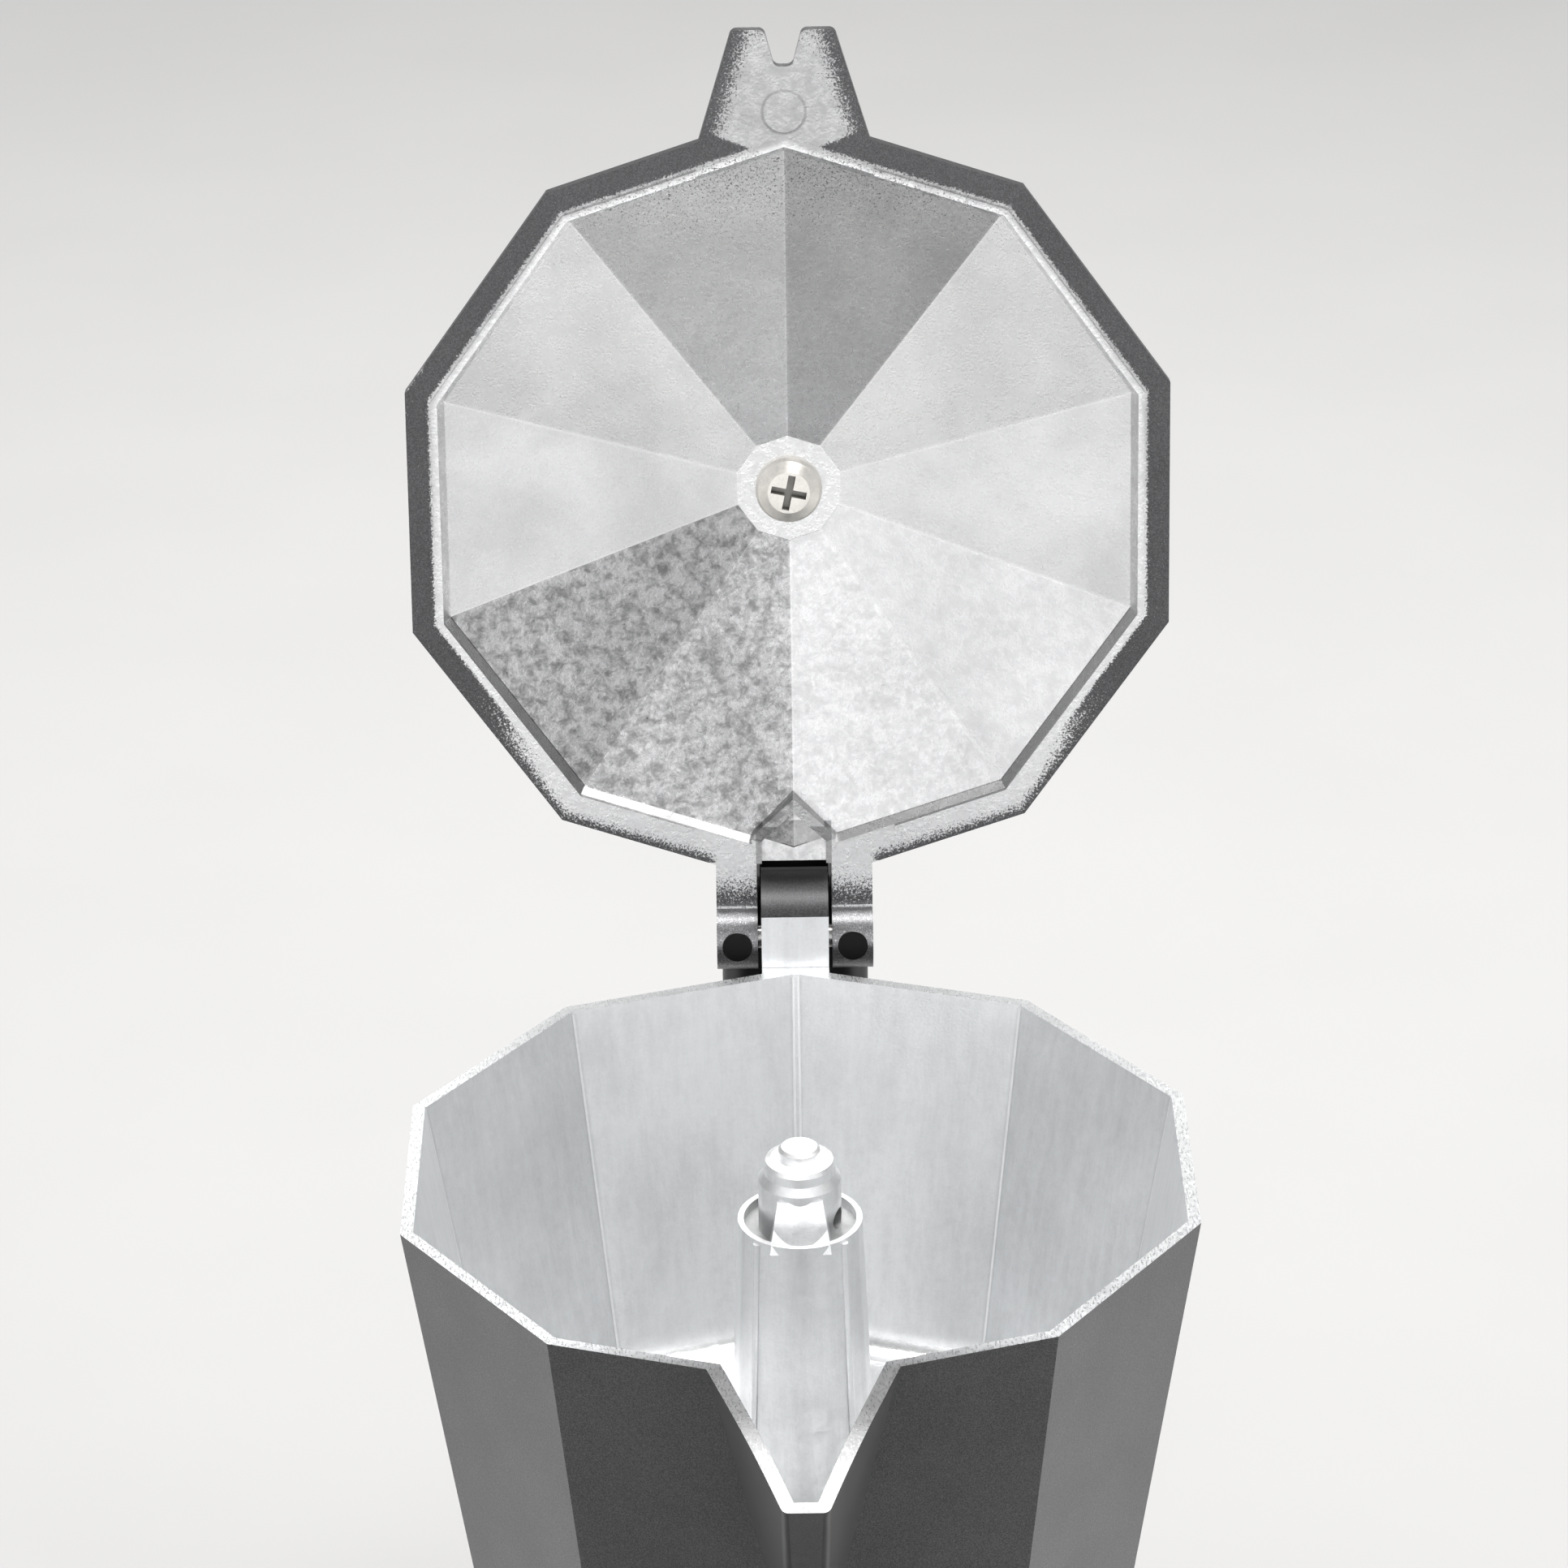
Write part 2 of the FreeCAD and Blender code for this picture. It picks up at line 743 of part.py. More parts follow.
def add_column(body):
    drop = "cavity_depth"
    ring_top = RIM + " - column_top"
    turn(outline(sketch(body, "XZ_Plane"), [
        ("0", CAVITY_FLOOR + " - rib_radius"),
        (column_radius(drop), CAVITY_FLOOR + " - rib_radius"),
        (column_radius(drop), CAVITY_FLOOR),
        ("column_ring", ring_top),
        ("0", ring_top),
    ]))
    for side in (-90, 90):
        for angle in (-value("rib_angle"), value("rib_angle")):
            across = math.sin(math.radians(side + 90 + angle))
            along = math.cos(math.radians(side + 90 + angle))
            ends = [circle(sketch(body, "XY_Plane", level), "rib_radius", "{} * {}".format(reach, across),
                           "{} * {}".format(reach, along))
                    for level, reach in ((CAVITY_FLOOR, column_radius(drop)),
                                         (ring_top + " - rib_radius", "column_ring"))]
            loft(*ends)
    ring = circle(sketch(body, "XY_Plane", ring_top), "ring_bore")
    cut(ring, "ring_depth")
    foot = sketch(body, "XY_Plane", ring_top + " - ring_depth")
    outline(foot, both_sides([("wedge_foot", "-wedge_depth"), ("wedge_foot", "wedge_depth")]))
    head = sketch(body, "XY_Plane", RIM + " - wedge_top")
    outline(head, both_sides([("wedge_head", "-wedge_head_depth"), ("wedge_head", "wedge_head_depth")]))
    loft(foot, head)
    turn(outline(sketch(body, "XZ_Plane"), [
        ("0", ring_top + " - ring_depth - 1"),
        ("body_radius", ring_top + " - ring_depth - 1"),
        ("body_radius", RIM + " - body_top"),
        ("bulge_radius", RIM + " - bulge_foot"),
        ("bulge_radius", RIM + " + bulge_top - bulge_rounding"),
        ("bulge_radius - bulge_rounding / 4", RIM + " + bulge_top - bulge_rounding / 4"),
        ("bulge_radius - bulge_rounding", RIM + " + bulge_top"),
        ("cap_radius", RIM + " + bulge_top"),
        ("cap_radius", RIM + " + cap_rise - cap_chamfer"),
        ("cap_radius - cap_chamfer", RIM + " + cap_rise"),
        ("0", RIM + " + cap_rise"),
    ]))


def bore_column(body):
    turn(outline(sketch(body, "XZ_Plane"), [
        ("0", SKIRT_FOOT + " - skirt_gap"),
        ("skirt_bore", SKIRT_FOOT + " - skirt_gap"),
        ("skirt_bore", SEAT),
        ("dome_radius", SEAT),
        ("dome_radius - dome_slope", SEAT + " + dome_depth"),
        ("column_bore + bore_flare", SEAT + " + dome_depth"),
        ("column_bore", SEAT + " + dome_depth + bore_flare"),
        ("column_bore", RIM + " - bore_top"),
        ("riser_radius", RIM + " - bore_top + column_bore"),
        ("riser_radius", RIM + " - riser_top"),
        ("0", RIM + " - riser_top"),
    ]), remove=True)
    outlet = sketch(body, "YZ_Plane")
    outlet.AttachmentOffset = FreeCAD.Placement(FreeCAD.Vector(), FreeCAD.Rotation(
        FreeCAD.Vector(0, 1, 0), -value("outlet_turn")))
    circle(outlet, "outlet_radius", "0", RIM + " - outlet_level")
    cut(outlet, "body_radius * 2.2", middle=True)


def add_seam(body, side, width):
    """Thin strip in a corner of the cavity, from its floor to the rim."""
    level_radii = ((CAVITY_FLOOR, FLOOR_RADIUS), (RIM, MOUTH_RADIUS))
    ends = []
    for level, radius in level_radii:
        end = sketch(body, "XY_Plane", level, turn=side)
        face = "({} - {} / 2 * tan(180 / sides))".format(radius, width)
        outline(end, both_sides([("{} / 2".format(width), face),
                                 ("{} / 2 + seam_depth".format(width), radius + " + seam_depth / 2")]))
        ends.append(end)
    return loft(*ends)


def make_collector():
    body = new_body("collector")
    loft(polygon(sketch(body, "XY_Plane", SKIRT_FOOT), "(rim_radius - wall_slope * collector_height)"),
         polygon(sketch(body, "XY_Plane", RIM), "rim_radius"))
    add_spout(body)
    add_lug(body)
    loft(polygon(sketch(body, "XY_Plane", CAVITY_FLOOR), FLOOR_RADIUS),
         polygon(sketch(body, "XY_Plane", RIM), MOUTH_RADIUS), remove=True)
    limit = value(CAVITY_FLOOR)
    round_edges(body, "cavity_fillet", lambda edge: abs(middle(edge).z - limit) < 0.001)
    add_seam(body, 0, "back_seam_width")
    for corner in (1, 2, 3, 4, 6, 7, 8, 9):
        add_seam(body, corner * 360 / value("sides"), "seam_width")
    cut_spout(body)
    add_column(body)
    bore_column(body)
    tooth = thread_profile(body, "(boiler_height + thread_start - thread_pitch)",
                           "skirt_bore - thread_bite", "neck_radius + thread_depth + thread_gap",
                           "thread_gap")
    coil(tooth, "V_Axis", "thread_pitch", "thread_length + thread_pitch + thread_run_out", remove=True)
    pin = circle(sketch(body, "YZ_Plane"), "pin_radius + pin_fit", "hinge_back", RIM + " + hinge_rise")
    cut(pin, "lug_width * 2", middle=True)
    bolt = circle(sketch(body, "YZ_Plane"), "handle_screw_hole", "handle_screw_back",
                  RIM + " - handle_screw_drop")
    cut(bolt, "lug_width * 2", middle=True)


# ---- lid, drawn closed with its hinge axis on the local X axis, then swung open ----

LID_CENTRE = ("0", "-hinge_back")
LID_TOP = "({} + lid_edge + lid_rise)".format(FLANGE)
LID_INSIDE = "({} + lid_rise)".format(FLANGE)


def on_lid(body):
    axis = FreeCAD.Vector(-1, 0, 0)
    body.Placement = FreeCAD.Placement(FreeCAD.Vector(), FreeCAD.Rotation(axis, value("lid_open")))
    bind(body, "Placement.Rotation.Angle", "lid_open")
    bind(body, "Placement.Base.y", "hinge_back")
    bind(body, "Placement.Base.z", RIM + " + hinge_rise")


def lid_polygon(body, level, radius):
    return polygon(sketch(body, "XY_Plane", level, LID_CENTRE), radius)


def make_lid():
    body = new_body("lid")
    pad(lid_polygon(body, FLANGE, "lid_radius"), "lid_edge")
    loft(lid_polygon(body, FLANGE + " + lid_edge", "lid_radius"), lid_polygon(body, LID_TOP, "lid_flat"))
    tab = sketch(body, "XY_Plane", FLANGE, LID_CENTRE)
    outline(tab, both_sides([
        ("tab_root_width", "-tab_root"),
        ("tab_end_width", "-tab_end"),
        ("notch_end_width", "-tab_end"),
        ("notch_root_width", "-notch_root"),
    ]))
    pad(tab, "lid_edge")
    rounded = [value("-notch_root - hinge_back"), value("-tab_end - hinge_back")]
    round_edges(body, "tab_fillet", lambda edge: abs(edge.tangentAt(edge.FirstParameter).z) > 0.99
                and min(abs(middle(edge).y - place) for place in rounded) < 0.01)
    arm = sketch(body, "YZ_Plane", "ear_inner")
    outline(arm, [
        ("-ear_start", FLANGE),
        ("-ear_start", FLANGE + " + lid_edge"),
        ("-ear_slope_end", FLANGE + " + lid_edge + ear_slope_rise"),
        ("0", "ear_radius"),
        ("0", FLANGE),
    ])
    arm_pad = pad(arm, "ear_outer - ear_inner")
    barrel = circle(sketch(body, "YZ_Plane", "ear_inner"), "ear_radius")
    barrel_pad = pad(barrel, "ear_outer - ear_inner")
    ejector = circle(sketch(body, "XY_Plane", "-ear_radius - ejector_rise"), "ejector_radius",
                     "(ear_inner + ear_outer) / 2")
    ejector_pad = pad(ejector, "ear_radius / 2")
    mirrored(body, [arm_pad, barrel_pad, ejector_pad])
    hollow_lid(body)
    add_lip(body)
    add_gable(body)
    slot = sketch(body, "XY_Plane", FLANGE + " - slot_below", LID_CENTRE)
    outline(slot, both_sides([("ear_inner", "slot_end"), ("ear_inner", "slot_end + slot_length")]))
    cut(slot, "slot_height", reverse=True)
    cut(circle(sketch(body, "YZ_Plane"), "pin_radius + pin_clearance"), "ear_outer * 3", middle=True)
    cut(circle(sketch(body, "XY_Plane", LID_TOP + " + lid_edge", LID_CENTRE), "screw_hole"), "lid_rise")
    mark = circle(sketch(body, "XY_Plane", FLANGE, LID_CENTRE), "mark_radius", "0", "-mark_place")
    cut(mark, "mark_depth", reverse=True)
    on_lid(body)


def hollow_lid(body):
    step = FLANGE + " + inner_step"
    loft(lid_polygon(body, FLANGE, "lip_inner"), lid_polygon(body, step, "inner_radius"), remove=True)
    loft(lid_polygon(body, step, "inner_radius"), lid_polygon(body, LID_INSIDE, "inner_flat"),
         remove=True)


def add_lip(body):
    """Ridge under the flange that centres the lid in the rim, left out at the hinge and the tab."""
    ring = sketch(body, "XY_Plane", FLANGE, LID_CENTRE)
    polygon(ring, "lip_outer")
    polygon(ring, "lip_inner")
    pad(ring, "lip_height", reverse=True)
    for width, side in (("lip_gap", 1), ("tab_root_width", -1)):
        gap = sketch(body, "XY_Plane", FLANGE, LID_CENTRE)
        outline(gap, both_sides([(width, "{} * (lip_outer - lid_flat)".format(side)),
                                 (width, "{} * (lip_outer + lid_edge)".format(side))]))
        cut(gap, "lip_height * 2")


def add_gable(body):
    """House-shaped wall round a sloping pocket that the hinge lug closes."""
    ramp = sketch(body, "YZ_Plane")
    outline(ramp, [
        ("ramp_start - hinge_back", FLANGE + " + ramp_head"),
        ("ramp_end - hinge_back", FLANGE + " + ramp_foot"),
        ("ramp_end - hinge_back", FLANGE + " - lip_height * 2"),
        ("ramp_start - hinge_back", FLANGE + " - lip_height * 2"),
    ])
    cut(ramp, "(gable_width - gable_wall) * 2", middle=True)
    wall = sketch(body, "XY_Plane", FLANGE + " - gable_rise", LID_CENTRE)
    inner = "(gable_width - gable_wall)"
    outline(wall, [
        ("-gable_width", "gable_end"),
        ("-gable_width", "gable_eaves"),
        ("0", "gable_apex"),
        ("gable_width", "gable_eaves"),
        ("gable_width", "gable_end"),
        (inner, "gable_end"),
        (inner, "gable_eaves + gable_wall / 2"),
        ("0", "gable_apex + gable_wall * 1.5"),
        ("-" + inner, "gable_eaves + gable_wall / 2"),
        ("-" + inner, "gable_end"),
    ])
    pad(wall, "gable_height")


def make_hinge_pin():
    body = turned_piece("hinge_pin", [
        ("-ear_outer", "0"),
        ("-ear_outer", "pin_radius - pin_chamfer"),
        ("-ear_outer + pin_chamfer", "pin_radius"),
        ("ear_outer - pin_chamfer", "pin_radius"),
        ("ear_outer", "pin_radius - pin_chamfer"),
        ("ear_outer", "0"),
    ], "XY_Plane", "H_Axis")
    bind(body, "Placement.Base.y", "hinge_back")
    bind(body, "Placement.Base.z", RIM + " + hinge_rise")


# ---- lid knob ----

def make_lid_knob():
    body = new_body("lid_knob")
    heights = ("0", "knob_waist_height", "knob_top_height", "knob_height")
    radii = ("knob_foot", "knob_waist", "knob_top", "knob_crown")
    for index in range(3):
        loft(lid_polygon(body, "{} + {}".format(LID_TOP, heights[index]), radii[index]),
             lid_polygon(body, "{} + {}".format(LID_TOP, heights[index + 1]), radii[index + 1]))
    limit = value(LID_TOP + " + knob_height")
    round_edges(body, "knob_fillet", lambda edge: abs(middle(edge).z - limit) < 0.001)
    cut(circle(sketch(body, "XY_Plane", LID_TOP, LID_CENTRE), "insert_radius"),
        "insert_length + insert_room", reverse=True)
    on_lid(body)


def make_knob_insert():
    body = new_body("knob_insert")
    ring = sketch(body, "XY_Plane", LID_TOP, LID_CENTRE)
    circle(ring, "insert_radius - insert_fit")
    circle(ring, "screw_radius + insert_fit")
    pad(ring, "insert_length")
    on_lid(body)


def pan_screw(label, length):
    """Cross-recess pan-head screw along +Z, with the underside of its head at the local origin."""
    body = turned_piece(label, [
        ("0", "-head_height"),
        ("head_crown", "-head_height"),
        ("head_radius - head_inset", "-head_height + head_bevel"),
        ("head_radius", "-head_height + head_edge"),
        ("head_radius", "0"),
        ("screw_radius", "0"),
        ("screw_radius", length + " - screw_point"),
        ("screw_radius - screw_point", length),
        ("0", length),
    ])
    for angle in (0, 90):
        bar = sketch(body, "XY_Plane", "-head_height", turn=angle + value("cross_angle"))
        outline(bar, both_sides([("cross_width", "-cross_length"), ("cross_width", "cross_length")]))
        cut(bar, "cross_depth", reverse=True)
    return body


def make_knob_screw():
    body = pan_screw("knob_screw", "(lid_edge + knob_screw_length)")
    angle = value("lid_open")
    axis = FreeCAD.Vector(-1, 0, 0)
    body.Placement = FreeCAD.Placement(FreeCAD.Vector(), FreeCAD.Rotation(axis, angle))
    bind(body, "Placement.Rotation.Angle", "lid_open")
    back = "{} * sin(lid_open) - hinge_back * cos(lid_open)".format(LID_INSIDE)
    rise = "{} * cos(lid_open) + hinge_back * sin(lid_open)".format(LID_INSIDE)
    bind(body, "Placement.Base.y", "hinge_back + " + back)
    bind(body, "Placement.Base.z", RIM + " + hinge_rise + " + rise)


# ---- handle ----

HANDLE = [
    # distance behind the pot's axis, height above the rim, corner radius
    (60.2, 5.8, 1.5),
    (67, 9, 6),
    (92, 9.5, 14),
    (106, -6, 12),
    (104.5, -45, 40),
    (98, -83, 4),
    (90, -85, 4),
    (91, -45, 30),
    (88.5, -18, 9),
    (60.2, -18.5, 2),
]


def make_handle():
    body = new_body("handle")
    side = sketch(body, "YZ_Plane")
    outline(side, [(str(back), "{} + ({})".format(RIM, rise)) for back, rise, radius in HANDLE])
    pad(side, "handle_width", middle=True)
    base = value(RIM)
    for back, rise, radius in HANDLE:
        corner = FreeCAD.Vector(0, back, base + rise)
        round_edges(body, str(radius), lambda edge: abs(edge.tangentAt(edge.FirstParameter).x) > 0.99
                    and middle(edge).distanceToPoint(corner) < 0.01)
    half = value("handle_width / 2")
    front = value("handle_front") + 0.01
    round_edges(body, "grip_fillet", lambda edge: abs(abs(middle(edge).x) - half) < 0.001
                and middle(edge).y > front)
    slot_width = "(lug_width + handle_fit * 2)"
    open_slot = sketch(body, "YZ_Plane")
    outline(open_slot, [
        ("handle_front - slot_margin", RIM + " - slot_drop"),
        ("tongue_start + slot_margin", RIM + " - slot_drop"),
        ("tongue_start + slot_margin", RIM + " + slot_rise"),
        ("handle_front - slot_margin", RIM + " + slot_rise"),
    ])
    cut(open_slot, slot_width, middle=True)
    blind_slot = sketch(body, "YZ_Plane")
    outline(blind_slot, [
        ("tongue_start", RIM + " - tongue_drop - blind_drop"),
        ("tongue_end + blind_gap", RIM + " - tongue_drop - blind_drop"),
        ("tongue_end + blind_gap", RIM + " + tongue_top + blind_gap"),
        ("tongue_start", RIM + " + tongue_top + blind_gap"),
    ])
    cut(blind_slot, slot_width, middle=True)
    place = ("handle_screw_back", RIM + " - handle_screw_drop")
    cut(circle(sketch(body, "YZ_Plane"), "handle_screw_hole", *place), "handle_width * 2", middle=True)
    cut(circle(sketch(body, "YZ_Plane", "handle_width / 2 + slot_margin"), "head_recess", *place),
        "recess_depth + slot_margin")
    pocket = sketch(body, "YZ_Plane", "-handle_width / 2 - slot_margin")
    step = "60 * {}"
    outline(pocket, [("handle_screw_back + nut_pocket * sin({})".format(step.format(index)),
                      "{} - handle_screw_drop + nut_pocket * cos({})".format(RIM, step.format(index)))
                     for index in range(6)])
    cut(pocket, "nut_thickness + slot_margin + nut_room", reverse=True)


def make_handle_screw():
    body = pan_screw("handle_screw", "(handle_width - recess_depth - slot_margin)")
    turn_by = FreeCAD.Rotation(FreeCAD.Vector(0, 1, 0), -90)
    body.Placement = FreeCAD.Placement(FreeCAD.Vector(), turn_by)
    bind(body, "Placement.Base.x", "handle_width / 2 - recess_depth")
    bind(body, "Placement.Base.y", "handle_screw_back")
    bind(body, "Placement.Base.z", RIM + " - handle_screw_drop")


def make_handle_nut():
    body = new_body("handle_nut")
    hexagon = sketch(body, "YZ_Plane")
    polygon(hexagon, "nut_radius", "6")
    circle(hexagon, "screw_radius + insert_fit")
    pad(hexagon, "nut_thickness")
    bind(body, "Placement.Base.x", "-handle_width / 2 + nut_inset")
    bind(body, "Placement.Base.y", "handle_screw_back")
    bind(body, "Placement.Base.z", RIM + " - handle_screw_drop")


# ---- build, check and write ----

def check(piece):
    for thing in [piece] + list(piece.Group):
        if "Invalid" in thing.State or "Error" in thing.State:
            raise ValueError("{} failed: {}".format(thing.Name, thing.State))
    shape = piece.Shape
    if shape.isNull() or not shape.isValid() or not shape.Solids:
        raise ValueError(piece.Label + " is not a valid solid")


fill_sheet()
make_boiler()
make_valve_washer()
make_valve_body()
make_valve_plunger()
make_valve_seal()
make_valve_spring()
make_valve_cap()
make_funnel()
perforated_disc("funnel_strainer", "basket_radius - disc_gap / 2",
                "({} - basket_depth + funnel_sheet)".format(NECK_TOP))
make_gasket()
perforated_disc("filter_plate", "plate_radius", "({} - disc_thickness)".format(SEAT))
make_collector()
make_lid()
make_hinge_pin()
make_lid_knob()
make_knob_insert()
make_knob_screw()
make_handle()
make_handle_screw()
make_handle_nut()
doc.recompute()

for piece in pieces:
    check(piece)
os.makedirs("parts", exist_ok=True)
for piece in pieces:
    piece.Shape.exportStep("parts/{}.step".format(piece.Label))
    box = piece.Shape.BoundBox
    print("{:16s} {:2d} solid {:11.2f} mm3  x {:7.2f} {:7.2f}  y {:7.2f} {:7.2f}  z {:7.2f} {:7.2f}".format(
        piece.Label, len(piece.Shape.Solids), piece.Shape.Volume,
        box.XMin, box.XMax, box.YMin, box.YMax, box.ZMin, box.ZMax))
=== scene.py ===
import json
import math
from collections import namedtuple

import bpy
from mathutils import Euler, Matrix, Vector

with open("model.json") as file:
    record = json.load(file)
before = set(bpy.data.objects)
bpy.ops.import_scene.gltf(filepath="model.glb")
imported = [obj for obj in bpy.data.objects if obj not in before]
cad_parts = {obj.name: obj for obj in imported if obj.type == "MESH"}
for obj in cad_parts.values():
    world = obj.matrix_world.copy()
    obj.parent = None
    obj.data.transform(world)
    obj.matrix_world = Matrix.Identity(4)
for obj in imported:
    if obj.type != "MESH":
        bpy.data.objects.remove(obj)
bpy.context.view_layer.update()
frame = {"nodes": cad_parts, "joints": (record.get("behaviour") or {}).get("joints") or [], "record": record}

NODES = frame["nodes"]
JOINTS = {joint["name"]: joint for joint in frame["joints"]}
SLOTS = {part["node"]: part["material_slot"] for part in frame["record"]["subparts"]}

# ---- places and sizes, in metres ----

MM = 0.001
SIDES = 10
SIDE_ANGLE = 2 * math.pi / SIDES
HINGE = Vector(JOINTS["lid_hinge"]["pos_m"])
PIVOT = tuple(HINGE)
LID_OPEN = math.radians(98.83)
HINGE_RISE = 0.7 * MM
RIM = HINGE.z - HINGE_RISE
RIM_RADIUS = 48 * MM


def screw_face():
    """Height of the knob screw's head above the hinge pin, with the lid closed."""
    unfold = Matrix.Rotation(LID_OPEN, 3, "X")
    return min((unfold @ (corner.co - HINGE)).z for corner in NODES["knob_screw"].data.vertices)


SCREW_FACE = screw_face()

# ---- shader graphs ----

# a smooth change of value between two places, or between two levels
Step = namedtuple("Step", "start end before after", defaults=(0.0, 1.0))
# size of the blobs in metres, octaves, roughness, distortion and a factor for each axis
Noise = namedtuple("Noise", "size detail rough warp stretch", defaults=(0.0, None))
# what one layer of a finish gives the surface
Layer = namedtuple("Layer", "colour rough normal metal")

NOISE_LOW = 0.3
NOISE_HIGH = 0.7


class Graph:
    """A node tree, built with short calls that return output sockets."""

    def __init__(self, tree):
        self.tree = tree
        tree.nodes.clear()
        coordinates = tree.nodes.new("ShaderNodeTexCoord").outputs
        self.place = coordinates["Object"]
        self.normal = coordinates["Normal"]
        self.direction = coordinates["Generated"]

    def put(self, value, socket):
        """Give an input a link, a number, a vector or a colour."""
        if isinstance(value, bpy.types.NodeSocket):
            self.tree.links.new(value, socket)
        elif isinstance(value, (int, float)) and socket.type in ("RGBA", "VECTOR"):
            socket.default_value = [value] * 3 + ([1] if socket.type == "RGBA" else [])
        elif socket.type == "RGBA" and len(value) == 3:
            socket.default_value = (*value, 1)
        else:
            socket.default_value = value

    def math(self, operation, *values):
        node = self.tree.nodes.new("ShaderNodeMath")
        node.operation = operation
        for value, socket in zip(values, node.inputs):
            self.put(value, socket)
        return node.outputs[0]

    def vector(self, operation, *values):
        node = self.tree.nodes.new("ShaderNodeVectorMath")
        node.operation = operation
        for value, socket in zip(values, node.inputs):
            self.put(value, socket)
        return node.outputs["Value" if operation in ("DOT_PRODUCT", "LENGTH", "DISTANCE") else "Vector"]

    def product(self, first, *others):
        for other in others:
            first = self.math("MULTIPLY", first, other)
        return first

    def total(self, first, *others):
        for other in others:
            first = self.math("ADD", first, other)
        return first

    def less(self, first, second):
        return self.math("SUBTRACT", first, second)

    def above(self, value, limit):
        return self.math("GREATER_THAN", value, limit)

    def below(self, value, limit):
        return self.math("LESS_THAN", value, limit)

    def most(self, first, second):
        return self.math("MAXIMUM", first, second)

    def size(self, value):
        return self.math("ABSOLUTE", value)

    def length(self, x, y):
        return self.vector("LENGTH", self.join(x, y, 0))

    def distance(self, x, y, middle):
        return self.vector("DISTANCE", self.join(x, y, 0), middle)

    def rotate(self, place, angle, centre=(0, 0, 0)):
        node = self.tree.nodes.new("ShaderNodeVectorRotate")
        node.rotation_type = "X_AXIS"
        self.put(place, node.inputs["Vector"])
        node.inputs["Center"].default_value = centre
        node.inputs["Angle"].default_value = angle
        return node.outputs[0]

    def split(self, place):
        node = self.tree.nodes.new("ShaderNodeSeparateXYZ")
        self.put(place, node.inputs[0])
        return node.outputs

    def join(self, x, y, z):
        node = self.tree.nodes.new("ShaderNodeCombineXYZ")
        for value, socket in zip((x, y, z), node.inputs):
            self.put(value, socket)
        return node.outputs[0]

    def tinted(self, level, tint=(1.0, 1.0, 1.0)):
        """Grey of a level, times a tint."""
        return self.vector("MULTIPLY", self.join(level, level, level), tint)

    def noise(self, kind, place=None):
        """Noise from 0 to 1 at a place, which is the object's own when none is given."""
        node = self.tree.nodes.new("ShaderNodeTexNoise")
        place = self.place if place is None else place
        if kind.stretch:
            place = self.vector("MULTIPLY", place, kind.stretch)
        self.put(place, node.inputs["Vector"])
        node.inputs["Scale"].default_value = 1 / kind.size
        node.inputs["Detail"].default_value = kind.detail
        node.inputs["Roughness"].default_value = kind.rough
        node.inputs["Distortion"].default_value = kind.warp
        return node.outputs["Fac"]

    def step(self, value, step, kind="SMOOTHSTEP"):
        """Value of a step at a place or level."""
        node = self.tree.nodes.new("ShaderNodeMapRange")
        node.interpolation_type = kind
        for number, socket in zip((value, *step), node.inputs):
            self.put(number, socket)
        return node.outputs[0]

    def vary(self, noise, low, high):
        """The usual range of a noise, spread from low to high."""
        return self.step(noise, Step(NOISE_LOW, NOISE_HIGH, low, high))

    def shaded(self, share, tone):
        """1 where share is 0, and tone where share is 1."""
        return self.step(share, Step(0.0, 1.0, 1.0, tone))

    def mix(self, share, first, second, kind="RGBA"):
        """Mix of two colours, or of two vectors if kind is VECTOR."""
        node = self.tree.nodes.new("ShaderNodeMix")
        node.data_type = kind
        self.put(share, node.inputs[0])
        pair = [socket for socket in node.inputs if socket.type == kind][-2:]
        for value, socket in zip((first, second), pair):
            self.put(value, socket)
        return next(socket for socket in node.outputs if socket.enabled)

    def blend(self, share, first, second):
        """Mix of two numbers or number sockets."""
        rest = self.less(1, share)
        return self.total(self.product(first, rest), self.product(second, share))

    def bump(self, height, distance, strength=1.0, under=None):
        node = self.tree.nodes.new("ShaderNodeBump")
        node.inputs["Strength"].default_value = strength
        node.inputs["Distance"].default_value = distance
        self.put(height, node.inputs["Height"])
        if under is not None:
            self.put(under, node.inputs["Normal"])
        return node.outputs[0]


class Finish(Graph):
    """The node tree of a material, which ends in one Principled surface."""

    def __init__(self, name):
        self.material = bpy.data.materials.new(name)
        self.material.use_nodes = True
        super().__init__(self.material.node_tree)
        self.surface = self.tree.nodes.new("ShaderNodeBsdfPrincipled")
        output = self.tree.nodes.new("ShaderNodeOutputMaterial")
        self.tree.links.new(self.surface.outputs["BSDF"], output.inputs["Surface"])

    def set(self, name, value):
        self.put(value, self.surface.inputs[name])

    def set_layers(self, share, under, over):
        """Show one layer where share is 0 and the other where it is 1."""
        self.set("Base Color", self.mix(share, under.colour, over.colour))
        self.set("Roughness", self.blend(share, under.rough, over.rough))
        self.set("Normal", self.mix(share, under.normal, over.normal, "VECTOR"))
        self.set("Metallic", self.blend(share, under.metal, over.metal))


# ---- bare casting ----

